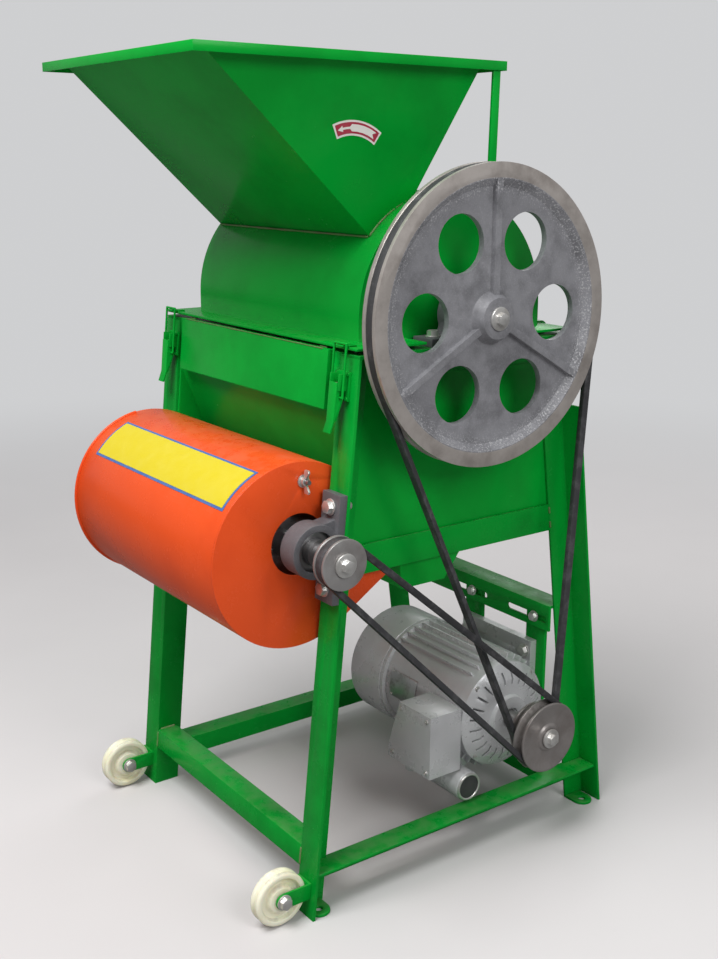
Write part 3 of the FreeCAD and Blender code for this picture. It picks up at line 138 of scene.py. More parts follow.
world = bpy.data.worlds.new("surround")
bpy.context.scene.world = world
world.use_nodes = True
tree = world.node_tree
sky = tree.nodes["Background"]
sky.inputs["Color"].default_value = far_color
level = tree.nodes.new("ShaderNodeMix")
level.inputs["A"].default_value = surround_level
level.inputs["B"].default_value = 1.0
tree.links.new(tree.nodes.new("ShaderNodeLightPath").outputs["Is Camera Ray"], level.inputs["Factor"])
tree.links.new(level.outputs["Result"], sky.inputs["Strength"])


def soft_lamp(name, place, target, size, power):
    data = bpy.data.lights.new(name, "AREA")
    data.shape = "SQUARE"
    data.size = size
    data.energy = power
    lamp = bpy.data.objects.new(name, data)
    bpy.context.scene.collection.objects.link(lamp)
    lamp.location = place
    lamp.rotation_euler = (Vector(target) - Vector(place)).to_track_quat("-Z", "Y").to_euler()


soft_lamp("key_lamp", (0.4, -1.8, 3.5), (0, 0, 0.6), 1.8, 130)
soft_lamp("side_lamp", (3.0, -0.2, 2.3), (0, 0, 0.6), 1.4, 42)
soft_lamp("back_lamp", (-1.4, 2.6, 2.4), (0, 0, 0.7), 2.0, 25)


# The camera stands in front and to the right, a little under the hopper's rim,
# at the place and with the field of view that the photograph was taken from.
azimuth, pitch, roll = math.radians(53.75), math.radians(14.69), math.radians(0.33)
camera_place = (1.402, -1.0466, 0.9675)
sensor_height, picture_height, focal_pixels = 24, 959, 1208.7
ahead = Vector((-math.sin(azimuth) * math.cos(pitch), math.cos(azimuth) * math.cos(pitch),
                -math.sin(pitch)))
right = Vector((math.cos(azimuth), math.sin(azimuth), 0))
up = right.cross(ahead)
tilted_right = math.cos(roll) * right + math.sin(roll) * up
tilted_up = tilted_right.cross(ahead)
camera_data = bpy.data.cameras.new("camera")
camera_data.sensor_fit = "VERTICAL"
camera_data.sensor_height = sensor_height
camera_data.lens = sensor_height * focal_pixels / picture_height
camera = bpy.data.objects.new("camera", camera_data)
bpy.context.scene.collection.objects.link(camera)
turn = Matrix((tilted_right, tilted_up, -ahead)).transposed().to_4x4()
camera.matrix_world = Matrix.Translation(camera_place) @ turn
bpy.context.scene.camera = camera
bpy.context.scene.view_settings.view_transform = "Standard"


# The stand is welded from 40 mm steel angle and flat bar and sprayed with one coat of
# glossy green paint after welding, with dust on what faces up.
def new_group(name, inputs, outputs):
    group = bpy.data.node_groups.new(name, "ShaderNodeTree")
    for label, kind, value in inputs:
        socket = group.interface.new_socket(label, in_out="INPUT", socket_type=kind)
        socket.default_value = value
    for label, kind in outputs:
        group.interface.new_socket(label, in_out="OUTPUT", socket_type=kind)
    return group, group.nodes.new("NodeGroupInput"), group.nodes.new("NodeGroupOutput")


surface_outputs = [("Color", "NodeSocketColor"), ("Roughness", "NodeSocketFloat"),
                   ("Height", "NodeSocketFloat")]
paint_film, given, result = new_group(
    "paint_film",
    [("Paint", "NodeSocketColor", (0, 0.3, 0.05, 1)), ("Thin", "NodeSocketColor", (0, 0.2, 0.03, 1)),
     ("Dust", "NodeSocketColor", (0.3, 0.3, 0.2, 1)), ("Dust amount", "NodeSocketFloat", 0.4),
     ("Gloss roughness", "NodeSocketFloat", 0.25), ("Mottle scale", "NodeSocketFloat", 7.0)],
    surface_outputs)
spot = paint_film.nodes.new("ShaderNodeTexCoord").outputs["Object"]
coat = band(paint_film, noise(paint_film, spot, given.outputs["Mottle scale"], 5.0, 0.6), 0.42, 0.68)
patchy = blend_colors(paint_film, coat, given.outputs["Paint"], given.outputs["Thin"])
facing = paint_film.nodes.new("ShaderNodeNewGeometry")
split = paint_film.nodes.new("ShaderNodeSeparateXYZ")
paint_film.links.new(facing.outputs["True Normal"], split.inputs[0])
lying = band(paint_film, split.outputs["Z"], 0.35, 0.95)
grit = band(paint_film, noise(paint_film, spot, 34.0, 8.0, 0.7), 0.38, 0.62)
settled = maths(paint_film, "MULTIPLY", lying, grit)
dusty = maths(paint_film, "MULTIPLY", settled, given.outputs["Dust amount"], True)
film = maths(paint_film, "MULTIPLY", band(paint_film, noise(paint_film, spot, 11.0, 6.0), 0.5, 0.8), 0.12)
veil = maths(paint_film, "MULTIPLY", film, given.outputs["Dust amount"])
cover_all = maths(paint_film, "MAXIMUM", dusty, veil)
dusted = blend_colors(paint_film, cover_all, patchy, given.outputs["Dust"])
paint_film.links.new(dusted, result.inputs["Color"])
rub = maths(paint_film, "MULTIPLY", noise(paint_film, spot, 22.0, 6.0, 0.7), 0.16)
rough = maths(paint_film, "ADD", given.outputs["Gloss roughness"], rub)
dull = maths(paint_film, "MULTIPLY", cover_all, 0.5)
paint_film.links.new(maths(paint_film, "ADD", rough, dull, True), result.inputs["Roughness"])
peel = maths(paint_film, "MULTIPLY", noise(paint_film, spot, 260.0, 2.0), 0.25)
wave = noise(paint_film, spot, 13.0, 2.0)
paint_film.links.new(maths(paint_film, "ADD", peel, wave), result.inputs["Height"])


def finished_material(name, group, values, bump=0.0008, **shader_values):
    """A material whose colour, roughness and bump come from a group, set to the given values."""
    mat = bpy.data.materials.new(name)
    mat.use_nodes = True
    tree = mat.node_tree
    shader = tree.nodes["Principled BSDF"]
    node = tree.nodes.new("ShaderNodeGroup")
    node.node_tree = group
    for label, value in values.items():
        node.inputs[label].default_value = value
    tree.links.new(node.outputs["Color"], shader.inputs["Base Color"])
    tree.links.new(node.outputs["Roughness"], shader.inputs["Roughness"])
    lift = tree.nodes.new("ShaderNodeBump")
    lift.inputs["Strength"].default_value = 0.5
    lift.inputs["Distance"].default_value = bump
    tree.links.new(node.outputs["Height"], lift.inputs["Height"])
    tree.links.new(lift.outputs["Normal"], shader.inputs["Normal"])
    for label, value in shader_values.items():
        shader.inputs[label.replace("_", " ")].default_value = value
    return mat


def finish(mat, *nodes):
    for name in nodes:
        piece = frame["nodes"][name]
        if not piece.material_slots:
            piece.data.materials.append(mat)
        for slot in piece.material_slots:
            slot.material = mat


green_paint = finished_material(
    "green_paint", paint_film,
    {"Paint": (0.001, 0.39, 0.036, 1), "Thin": (0.001, 0.31, 0.028, 1), "Dust": (0.10, 0.32, 0.09, 1),
     "Dust amount": 0.2, "Gloss roughness": 0.16, "Mottle scale": 5.0}, IOR=1.26)
stand_paint = finished_material(
    "stand_paint", paint_film,
    {"Paint": (0.001, 0.33, 0.032, 1), "Thin": (0.001, 0.25, 0.024, 1), "Dust": (0.12, 0.29, 0.10, 1),
     "Dust amount": 0.4, "Gloss roughness": 0.18, "Mottle scale": 8.0}, IOR=1.26)


def body_of(node):
    for body, nodes in frame["record"]["behaviour"]["bodies"].items():
        if node in nodes:
            return body


def soften(node, mat, width, angle=35, segments=2, smooth=40):
    """The solid itself with its sharp edges rounded, as folded, sprayed or cast edges are."""
    piece = bpy.data.objects.new(node + "_worn", frame["nodes"][node].data.copy())
    bpy.context.scene.collection.objects.link(piece)
    bpy.ops.object.select_all(action="DESELECT")
    piece.select_set(True)
    bpy.context.view_layer.objects.active = piece
    bpy.ops.object.mode_set(mode="EDIT")
    bpy.ops.mesh.select_all(action="SELECT")
    bpy.ops.mesh.remove_doubles(threshold=0.00001)
    bpy.ops.mesh.dissolve_limited(angle_limit=math.radians(0.5))
    bpy.ops.object.mode_set(mode="OBJECT")
    edge = piece.modifiers.new("edge", "BEVEL")
    edge.width = width
    edge.segments = segments
    edge.limit_method = "ANGLE"
    edge.angle_limit = math.radians(angle)
    bpy.ops.object.modifier_apply(modifier=edge.name)
    bpy.ops.object.shade_smooth_by_angle(angle=math.radians(smooth))
    piece.data.materials.clear()
    piece.data.materials.append(mat)
    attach(piece, body_of(node))
    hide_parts(node)


for node in ("front_legs", "rear_legs", "low_side_rails", "low_cross_rails", "mid_side_rails",
             "top_rails", "motor_rails", "motor_bars", "wheel_forks"):
    soften(node, stand_paint, 0.0008)
soften("foot_pads", stand_paint, 0.0006)


# The rails are arc welded to the legs: short rippled beads lie in the corners, and the
# paint over them stayed thin and scorched, so they are a duller khaki.
weld_paint = finished_material(
    "weld_paint", paint_film,
    {"Paint": (0.10, 0.26, 0.06, 1), "Thin": (0.16, 0.20, 0.08, 1), "Dust": (0.26, 0.27, 0.16, 1),
     "Dust amount": 1.0, "Gloss roughness": 0.4, "Mottle scale": 40.0})


bead_sides = 10
ripple_pitch, ripple_depth = 1.1, 0.14
bead_end_share, bead_end_rise = 0.55, 0.9


def weld_bead(name, start, end, radius, body="frame"):
    """Rippled bead between two points, a little thinner at both ends."""
    start, end = Vector(start), Vector(end)
    length = (end - start).length
    bpy.ops.object.select_all(action="DESELECT")
    bpy.ops.mesh.primitive_cylinder_add(vertices=bead_sides, radius=radius, depth=length,
                                        end_fill_type="TRIFAN")
    bead = bpy.context.object
    bead.name = name
    steps = max(3, int(length / (radius * ripple_pitch)))
    bpy.ops.object.mode_set(mode="EDIT")
    work = bmesh.from_edit_mesh(bead.data)
    bpy.ops.mesh.select_all(action="DESELECT")
    for edge in work.edges:
        a, b = edge.verts
        edge.select = abs(a.co.z - b.co.z) > length * 0.9
    bmesh.update_edit_mesh(bead.data)
    bpy.ops.mesh.subdivide(number_cuts=2 * steps - 1)
    work = bmesh.from_edit_mesh(bead.data)
    for vert in work.verts:
        along = (vert.co.z / length + 0.5) * 2 * steps
        swell = 1 - ripple_depth + ripple_depth * math.cos(math.pi * along)
        taper = min(1.0, bead_end_share + bead_end_rise * min(along, 2 * steps - along) / 2)
        vert.co.x *= swell * taper
        vert.co.y *= swell * taper
    bmesh.update_edit_mesh(bead.data)
    bpy.ops.object.mode_set(mode="OBJECT")
    bead.data.transform((end - start).to_track_quat("Z", "Y").to_matrix().to_4x4())
    bead.data.transform(Matrix.Translation((start + end) / 2))
    bpy.ops.object.shade_smooth()
    bead.data.materials.append(weld_paint)
    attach(bead, body)


low_rail, cross_rail, mid_rail = (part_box(node) for node in ("low_side_rails", "low_cross_rails",
                                                            "mid_side_rails"))
leg_corner = 0.206
flank = leg_corner + 0.0045
front_foot_y, front_rise = -0.270, 0.0716 / 0.7435
rear_foot_y, rear_rise = 0.275, -0.1025 / 0.7435
weld_r, side_weld_r = 0.0022, 0.0018
leg_flange = 0.040
cross_weld_start, cross_weld_end = 0.004, 0.029
low_weld_top, low_weld_foot = 0.003, 0.026
cross_side_top, cross_side_foot = 0.004, 0.028
mid_weld_low, mid_weld_high, mid_weld_len = 0.004, 0.014, 0.010


def front_face(z):
    return front_foot_y + front_rise * z


def rear_face(z):
    return rear_foot_y + rear_rise * z


for side, sign in (("right", 1), ("left", -1)):
    for end, face, inward in (("front", front_face, 1), ("rear", rear_face, -1)):
        name = side + "_" + end
        x, z = sign * (leg_corner - 0.001), cross_rail[1][2]
        weld_bead(name + "_cross_weld", (x, face(z) + inward * cross_weld_start, z),
                  (x, face(z) + inward * cross_weld_end, z), weld_r)
        x, foot = sign * leg_corner, z - cross_side_foot
        weld_bead(name + "_cross_side_weld", (x, face(z), z - cross_side_top), (x, face(foot), foot),
                  side_weld_r)
        x, z = sign * flank, low_rail[1][2]
        foot, in_y = z - low_weld_foot, inward * (leg_flange + 0.0005)
        weld_bead(name + "_low_weld", (x, face(z) + in_y, z - low_weld_top), (x, face(foot) + in_y, foot),
                  side_weld_r)
        in_y = inward * leg_flange
        for k, z in enumerate((mid_rail[0][2] + mid_weld_low, mid_rail[1][2] - mid_weld_high)):
            top = z + mid_weld_len
            weld_bead(name + "_mid_weld_" + str(k), (x, face(z) + in_y, z), (x, face(top) + in_y, top),
                      side_weld_r)


# The lower housing is folded from 3 mm sheet and tack welded between the legs; the front
# strip, the chutes and the end panels are sprayed with the same glossy green, which is
# rubbed thin along the strip's upper edge.
for node in ("side_panels", "front_strip", "end_panels", "chutes"):
    soften(node, green_paint, 0.0006)
finish(green_paint, "concave_screen")

strip_low, strip_high = (Vector(corner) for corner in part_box("front_strip"))
tack_in, tack_half, tack_r, tack_back = 0.020, 0.008, 0.0016, 0.004
tack_y, tack_z = strip_high.y - tack_back, strip_high.z + 0.0006
for k, x in enumerate((strip_low.x + tack_in, strip_high.x - tack_in)):
    weld_bead("strip_top_tack_" + str(k), (x - tack_half, tack_y, tack_z),
              (x + tack_half, tack_y, tack_z), tack_r)
strip_edge_y = min(vert.co.y for vert in frame["nodes"]["front_strip"].data.vertices
                   if vert.co.z > strip_high.z - 0.0005)
worn_in, worn_r = 0.012, 0.0008
weld_bead("strip_worn_edge", (strip_low.x + worn_in, strip_edge_y, strip_high.z),
          (strip_high.x - worn_in, strip_edge_y, strip_high.z), worn_r)


# The cover is rolled from 2.5 mm sheet over two flat ends, with flanges that lie on the
# top rails; the hopper is seamed into its opening and folded over at the rim.
for node in ("cover", "hopper"):
    soften(node, green_paint, 0.0007, angle=30)
for node in ("hopper_stays", "cover_leaves", "frame_leaves", "latch_catches"):
    soften(node, green_paint, 0.0005)

drum_mid = Vector((0, -0.014, 0.780))
cover_radius = 0.153
throat_front, throat_rear = -0.131, -0.066
throat_left, throat_right = -0.197, 0.173
throat_steps = 5
throat_weld_r, throat_side_weld_r = 0.0016, 0.0019


def arc_point(x, y, out=0.0):
    rise = math.sqrt(cover_radius ** 2 - (y - drum_mid.y) ** 2)
    way = Vector((0, y - drum_mid.y, rise)) / cover_radius
    return Vector((x, y, drum_mid.z + rise)) + way * out


weld_bead("throat_front_weld", arc_point(throat_left + 0.002, throat_front - 0.001, 0.0012),
          arc_point(throat_right - 0.001, throat_front - 0.001, 0.0012), throat_weld_r, "cover_body")
for k in range(throat_steps):
    y0, y1 = (throat_front + (throat_rear - throat_front) * j / throat_steps for j in (k, k + 1))
    weld_bead("right_throat_weld_" + str(k), arc_point(throat_right + 0.0005, y0, 0.001),
              arc_point(throat_right + 0.0005, y1, 0.001), throat_side_weld_r, "cover_body")


# A small printed arc shows which way the drum turns: white film with a red field and a
# plain white arrow, stuck on the hopper's right face.
film_group, given, result = new_group(
    "printed_film",
    [("Field", "NodeSocketColor", (0.7, 0.05, 0.04, 1)),
     ("Edge", "NodeSocketColor", (0.85, 0.83, 0.78, 1))],
    surface_outputs)
spot = film_group.nodes.new("ShaderNodeTexCoord").outputs["Object"]
fade = band(film_group, noise(film_group, spot, 60.0, 5.0), 0.3, 0.8)
faded = blend_colors(film_group, maths(film_group, "MULTIPLY", fade, 0.25), given.outputs["Field"],
                     given.outputs["Edge"])
film_group.links.new(faded, result.inputs["Color"])
film_rough = maths(film_group, "ADD", maths(film_group, "MULTIPLY", fade, 0.15), 0.28)
film_group.links.new(film_rough, result.inputs["Roughness"])
film_group.links.new(noise(film_group, spot, 120.0, 2.0), result.inputs["Height"])
film_red, film_white, film_yellow, film_blue = (
    finished_material(name, film_group, {"Field": (*field, 1), "Edge": (*edge, 1)}, 0.0002)
    for name, field, edge in (("film_red", (0.40, 0.022, 0.055), (0.52, 0.12, 0.14)),
                              ("film_white", (0.82, 0.80, 0.76), (0.74, 0.70, 0.62)),
                              ("film_yellow", (0.70, 0.56, 0.014), (0.72, 0.62, 0.10)),
                              ("film_blue", (0.06, 0.14, 0.40), (0.20, 0.28, 0.45))))

rim_half, hopper_flange = 0.206, 0.022
hopper_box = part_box("hopper")
wall_top = Vector((rim_half - hopper_flange, 0, hopper_box[1][2] - 0.002))
wall_low = Vector((throat_right, 0, arc_point(0, throat_front).z))
wall_way = (wall_top - wall_low).normalized()
wall_out = Vector((wall_way.z, 0, -wall_way.x))


def wall_point(y, z, out):
    on_wall = wall_low + wall_way * ((z - wall_low.z) / wall_way.z)
    return Vector((on_wall.x, y, z)) + wall_out * out


def face_outwards():
    bpy.ops.object.mode_set(mode="EDIT")
    bpy.ops.mesh.select_all(action="SELECT")
    bpy.ops.mesh.normals_make_consistent(inside=False)
    bpy.ops.object.mode_set(mode="OBJECT")


def thicken(piece, thick):
    wall = piece.modifiers.new("wall", "SOLIDIFY")
    wall.thickness = thick
    wall.offset = 0
    bpy.ops.object.modifier_apply(modifier=wall.name)


arc_middle, arc_lean, arc_radius, arc_half = (-0.1634, 0.9430), 0.11, 0.065, 0.52
arc_half_width, field_half_width, field_in = 0.0090, 0.0066, 0.036
arc_cells = 14
arrow_notch = 0.07
film_thick = 0.0004
film_lift = {"hopper_film": 0.0006, "hopper_film_field": 0.0009, "hopper_film_arrow": 0.0012}
arrow_shape = ((-0.45, 0.0001), (-0.34, 0.0036), (-0.338, 0.0013), (-0.255, 0.0013), (-0.17, 0.0013),
               (-0.13, 0.0042), (0.00, 0.0042), (0.14, 0.0042), (0.28, 0.0042), (0.43, 0.0042))


def arc_film(name, columns, mat, notch=0.0):
    """Thin film on the hopper's right wall, bent to an arc: its columns are angle and half width."""
    bpy.ops.object.select_all(action="DESELECT")
    last = len(columns) - 1
    bpy.ops.mesh.primitive_grid_add(x_subdivisions=last, y_subdivisions=2, size=1)
    piece = bpy.context.object
    piece.name = name
    for vert in piece.data.vertices:
        k, side = round((vert.co.x + 0.5) * last), round(vert.co.y * 2)
        turn = arc_lean + columns[k][0] - (notch if k == last and side == 0 else 0.0)
        reach = arc_radius + side * columns[k][1]
        vert.co = wall_point(arc_middle[0] + reach * math.sin(turn),
                             arc_middle[1] + reach * math.cos(turn), film_lift[name])
    face_outwards()
    thicken(piece, film_thick)
    piece.data.materials.append(mat)
    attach(piece, "cover_body")


def even_columns(half_angle, half_width):
    return [(half_angle * (2 * k / arc_cells - 1), half_width) for k in range(arc_cells + 1)]


arc_film("hopper_film", even_columns(arc_half, arc_half_width), film_white)
arc_film("hopper_film_field", even_columns(arc_half - field_in, field_half_width), film_red)
arc_film("hopper_film_arrow", arrow_shape, film_white, arrow_notch)


# The fan casing is rolled from 2 mm sheet round two flat cheeks and sprayed glossy orange;
# the roll's two edges are beaded, and the left one stands a little proud.
orange_paint = finished_material(
    "orange_paint", paint_film,
    {"Paint": (0.80, 0.088, 0.016, 1), "Thin": (0.72, 0.072, 0.013, 1), "Dust": (0.72, 0.30, 0.18, 1),
     "Dust amount": 0.14, "Gloss roughness": 0.18, "Mottle scale": 5.0}, Specular_IOR_Level=0.24)
soften("fan_scroll", orange_paint, 0.0006, angle=40)
soften("fan_cheeks", orange_paint, 0.0008, angle=40)

case_mid, case_radius = Vector((0, -0.261, 0.4926)), 0.1205
case_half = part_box("fan_scroll")[1][0]


bead_start, bead_end = math.radians(20), math.radians(300)
bead_steps = 72


def case_bead(name, x, radius, wire):
    """Round bead that follows the casing's edge, open where the duct leaves it."""
    bpy.ops.object.select_all(action="DESELECT")
    bpy.ops.mesh.primitive_circle_add(vertices=bead_sides, radius=wire, fill_type="NGON",
                                      location=(x, case_mid.y + radius * math.cos(bead_start),
                                                case_mid.z + radius * math.sin(bead_start)))
    bead = bpy.context.object
    bead.name = name
    bead.data.transform(Matrix.Rotation(bead_start, 4, "X"))
    bead.data.transform(Matrix.Translation(bead.location))
    bead.location = (0, 0, 0)
    bpy.ops.object.mode_set(mode="EDIT")
    bpy.ops.mesh.select_all(action="SELECT")
    bpy.ops.mesh.spin(steps=bead_steps, angle=bead_end - bead_start, center=(x, case_mid.y, case_mid.z),
                      axis=(1, 0, 0))
    bpy.ops.mesh.select_all(action="SELECT")
    bpy.ops.mesh.remove_doubles(threshold=0.00001)
    face_outwards()
    bpy.ops.object.shade_smooth_by_angle(angle=math.radians(50))
    bead.data.materials.append(orange_paint)
    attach(bead, "frame")


case_bead("left_case_bead", 0.0015 - case_half, case_radius + 0.0005, 0.0022)
case_bead("right_case_bead", case_half + 0.0008, case_radius - 0.0017, 0.0016)


# A plain yellow film with a blue border is stuck along the casing's front, bent to its
# curve; it is thin plastic with nothing printed on it.
def rolled_sheet(name, axis, radius, ends, turns, cells, thick, mat, edge=0.0):
    """Thin sheet bent round a line along X, between two places on it and two angles from +Y."""
    bpy.ops.object.select_all(action="DESELECT")
    bpy.ops.mesh.primitive_grid_add(x_subdivisions=cells[0], y_subdivisions=cells[1], size=1)
    piece = bpy.context.object
    piece.name = name
    for vert in piece.data.vertices:
        turn = turns[0] + (turns[1] - turns[0]) * (vert.co.y + 0.5)
        x = ends[0] + (ends[1] - ends[0]) * (vert.co.x + 0.5)
        vert.co = Vector((x, axis.y + radius * math.cos(turn), axis.z + radius * math.sin(turn)))
    face_outwards()
    thicken(piece, thick)
    if edge:
        rounded = piece.modifiers.new("edge", "BEVEL")
        rounded.width = edge
        rounded.segments = 2
        bpy.ops.object.modifier_apply(modifier=rounded.name)
    bpy.ops.object.shade_smooth_by_angle(angle=math.radians(40))
    piece.data.materials.append(mat)
    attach(piece, "frame")


film_left, film_right, film_low, film_high = -0.170, 0.188, math.radians(144), math.radians(112.5)
film_border, film_border_turn = 0.004, 0.030
rolled_sheet("case_film_edge", case_mid, case_radius + 0.0004, (film_left, film_right),
             (film_low, film_high), (4, 18), film_thick, film_blue)
rolled_sheet("case_film", case_mid, case_radius + 0.0008,
             (film_left + film_border, film_right - film_border),
             (film_low - film_border_turn, film_high + film_border_turn), (4, 18), film_thick,
             film_yellow)


# The wing nut on the fan's cheek is zinc plated; the gate that it clamps, the impeller,
# the fan's shaft and the bearings' rings are bare steel, cut and turned.
zinc_plate = finished_material(
    "zinc_plate", paint_film,
    {"Paint": (0.74, 0.73, 0.71, 1), "Thin": (0.60, 0.58, 0.55, 1), "Dust": (0.40, 0.37, 0.31, 1),
     "Dust amount": 0.3, "Gloss roughness": 0.24, "Mottle scale": 60.0}, Metallic=0.75)
bare_steel = finished_material(
    "bare_steel", paint_film,
    {"Paint": (0.42, 0.42, 0.43, 1), "Thin": (0.33, 0.32, 0.32, 1), "Dust": (0.35, 0.33, 0.30, 1),
     "Dust amount": 0.3, "Gloss roughness": 0.3, "Mottle scale": 40.0}, Metallic=1.0)
soften("wing_nut", zinc_plate, 0.0008, angle=30, segments=3)
finish(bare_steel, "inlet_gate", "fan_impeller", "fan_shaft", "fan_inner_rings")


# The pulleys are cast grey iron: the large one's web and ribs keep the sand's grain under
# thin paint, and pale specks crowded in a ring just inside its rim are a painted highlight;
# its rim, and the small ones out from their hubs, are turned and have browned.
iron_group, given, result = new_group(
    "cast_iron",
    [("Paint", "NodeSocketColor", (0.2, 0.2, 0.21, 1)), ("Bare", "NodeSocketColor", (0.2, 0.17, 0.15, 1)),
     ("Speck", "NodeSocketColor", (0.5, 0.5, 0.5, 1)), ("Middle", "NodeSocketVector", (0, 0, 0)),
     ("Rim start", "NodeSocketFloat", 0.17), ("Grain", "NodeSocketFloat", 1.0)],
    surface_outputs + [("Turned", "NodeSocketFloat")])
spot = iron_group.nodes.new("ShaderNodeTexCoord").outputs["Object"]
shift = iron_group.nodes.new("ShaderNodeVectorMath")
shift.operation = "SUBTRACT"
iron_group.links.new(spot, shift.inputs[0])
iron_group.links.new(given.outputs["Middle"], shift.inputs[1])
parts = iron_group.nodes.new("ShaderNodeSeparateXYZ")
iron_group.links.new(shift.outputs[0], parts.inputs[0])
squares = maths(iron_group, "ADD", maths(iron_group, "MULTIPLY", parts.outputs["Y"], parts.outputs["Y"]),
                maths(iron_group, "MULTIPLY", parts.outputs["Z"], parts.outputs["Z"]))
reach = maths(iron_group, "SQRT", squares)
turned = maths(iron_group, "GREATER_THAN", reach, given.outputs["Rim start"])
# A ring of denser pale specks just inside the rim is a painted highlight; the sparse specks over the rest
# are the casting's grain.
rim_highlight_start = maths(iron_group, "SUBTRACT", given.outputs["Rim start"], 0.024)
rim_highlight_ramp = band(iron_group, maths(iron_group, "SUBTRACT", reach, rim_highlight_start), 0.0, 0.016)
rim_highlight_zone = maths(iron_group, "MULTIPLY", rim_highlight_ramp, maths(iron_group, "SUBTRACT", 1.0, turned))
fine = noise(iron_group, spot, 420.0, 3.0, 0.7)
coarse = noise(iron_group, spot, 24.0, 6.0, 0.65)
grain_and_rim_highlight_specks = maths(iron_group, "MULTIPLY", band(iron_group, fine, 0.52, 0.66),
               maths(iron_group, "ADD", maths(iron_group, "MULTIPLY", rim_highlight_zone, 0.6), 0.10))
painted = blend_colors(iron_group, band(iron_group, coarse, 0.35, 0.75), given.outputs["Paint"],
                       (0.13, 0.13, 0.14, 1))
speckled_with_rim_highlight = blend_colors(iron_group, grain_and_rim_highlight_specks, painted, given.outputs["Speck"])
rings = iron_group.nodes.new("ShaderNodeTexNoise")
rings.noise_dimensions = "1D"
rings.inputs["Scale"].default_value = 900.0
rings.inputs["Detail"].default_value = 3.0
iron_group.links.new(reach, rings.inputs["W"])
browned = maths(iron_group, "MULTIPLY", band(iron_group, coarse, 0.35, 0.8), 0.5)
aged = blend_colors(iron_group, browned, given.outputs["Bare"], (0.12, 0.09, 0.075, 1))
iron_group.links.new(blend_colors(iron_group, turned, speckled_with_rim_highlight, aged), result.inputs["Color"])
cast_rough = maths(iron_group, "ADD", maths(iron_group, "MULTIPLY", coarse, 0.2), 0.38)
turned_rough = maths(iron_group, "ADD", maths(iron_group, "MULTIPLY", rings.outputs["Fac"], 0.15), 0.27)
sand = maths(iron_group, "MULTIPLY", maths(iron_group, "ADD", fine, coarse), given.outputs["Grain"])
lathe = maths(iron_group, "MULTIPLY", rings.outputs["Fac"], 0.12)
for output, cast, bright in (("Roughness", cast_rough, turned_rough), ("Height", sand, lathe)):
    mix = iron_group.nodes.new("ShaderNodeMix")
    for name, value in (("Factor", turned), ("A", cast), ("B", bright)):
        iron_group.links.new(value, mix.inputs[name])
    iron_group.links.new(mix.outputs["Result"], result.inputs[output])
iron_group.links.new(maths(iron_group, "MULTIPLY", turned, 0.45), result.inputs["Turned"])


def iron_material(name, values):
    mat = finished_material(name, iron_group, values)
    tree = mat.node_tree
    source = next(node for node in tree.nodes if node.type == "GROUP")
    tree.links.new(source.outputs["Turned"], tree.nodes["Principled BSDF"].inputs["Metallic"])
    return mat


fan_axis, motor_axis = Vector((0, -0.2578, 0.507)), Vector((0, 0.100, 0.179))
drum_iron = iron_material("drum_pulley_iron", {
    "Paint": (0.245, 0.245, 0.262, 1), "Bare": (0.50, 0.46, 0.43, 1), "Speck": (0.60, 0.60, 0.61, 1),
    "Middle": drum_mid, "Rim start": 0.1712})
fan_iron = iron_material("fan_pulley_iron", {
    "Paint": (0.20, 0.20, 0.21, 1), "Bare": (0.36, 0.35, 0.345, 1), "Speck": (0.45, 0.45, 0.45, 1),
    "Middle": fan_axis, "Rim start": 0.012})
motor_iron = iron_material("motor_pulley_iron", {
    "Paint": (0.20, 0.20, 0.21, 1), "Bare": (0.28, 0.26, 0.25, 1), "Speck": (0.45, 0.45, 0.45, 1),
    "Middle": motor_axis, "Rim start": 0.012})
soften("drum_pulley", drum_iron, 0.0016, angle=30, segments=3)
soften("fan_pulley", fan_iron, 0.0007, angle=35)
soften("motor_pulley", motor_iron, 0.0007, angle=35)


# The pillow blocks are grey cast iron left rough, with turned steel bearings; a short
# round grease plug, zinc plated, is screwed into the crown of the drum's two.
past_every_point = 50.0
block_iron = iron_material("block_iron", {
    "Paint": (0.10, 0.10, 0.108, 1), "Speck": (0.30, 0.30, 0.31, 1), "Rim start": past_every_point,
    "Grain": 0.8})
soften("pillow_blocks", block_iron, 0.0014, angle=30, segments=3)
soften("block_inserts", bare_steel, 0.0005)
finish(bare_steel, "drum_inner_rings", "drum_shaft", "drum_discs", "beater_bars")


plug_radius, plug_height = 0.0042, 0.0040
plug_x, plug_ahead, plug_rise = 0.223, 0.014, 0.0308
plug_way = (0, 0.41, 0.91)


def stand_on(piece, base, way):
    """Turn a piece made along +Z to its way and set it on its base, in its mesh."""
    piece.data.transform(Vector(way).to_track_quat("Z", "Y").to_matrix().to_4x4())
    piece.data.transform(Matrix.Translation(base))


for side, sign in (("right", 1), ("left", -1)):
    bpy.ops.object.select_all(action="DESELECT")
    bpy.ops.mesh.primitive_circle_add(vertices=12, radius=plug_radius, fill_type="NGON")
    plug = bpy.context.object
    plug.name = side + "_drum_nipple"
    bpy.ops.object.mode_set(mode="EDIT")
    bpy.ops.mesh.extrude_region_move(TRANSFORM_OT_translate={"value": (0, 0, plug_height)})
    face_outwards()
    stand_on(plug, (sign * plug_x, drum_mid.y + plug_ahead, drum_mid.z + plug_rise), plug_way)
    bpy.ops.object.shade_smooth_by_angle(angle=math.radians(35))
    plug.data.materials.append(zinc_plate)
    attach(plug, "frame")


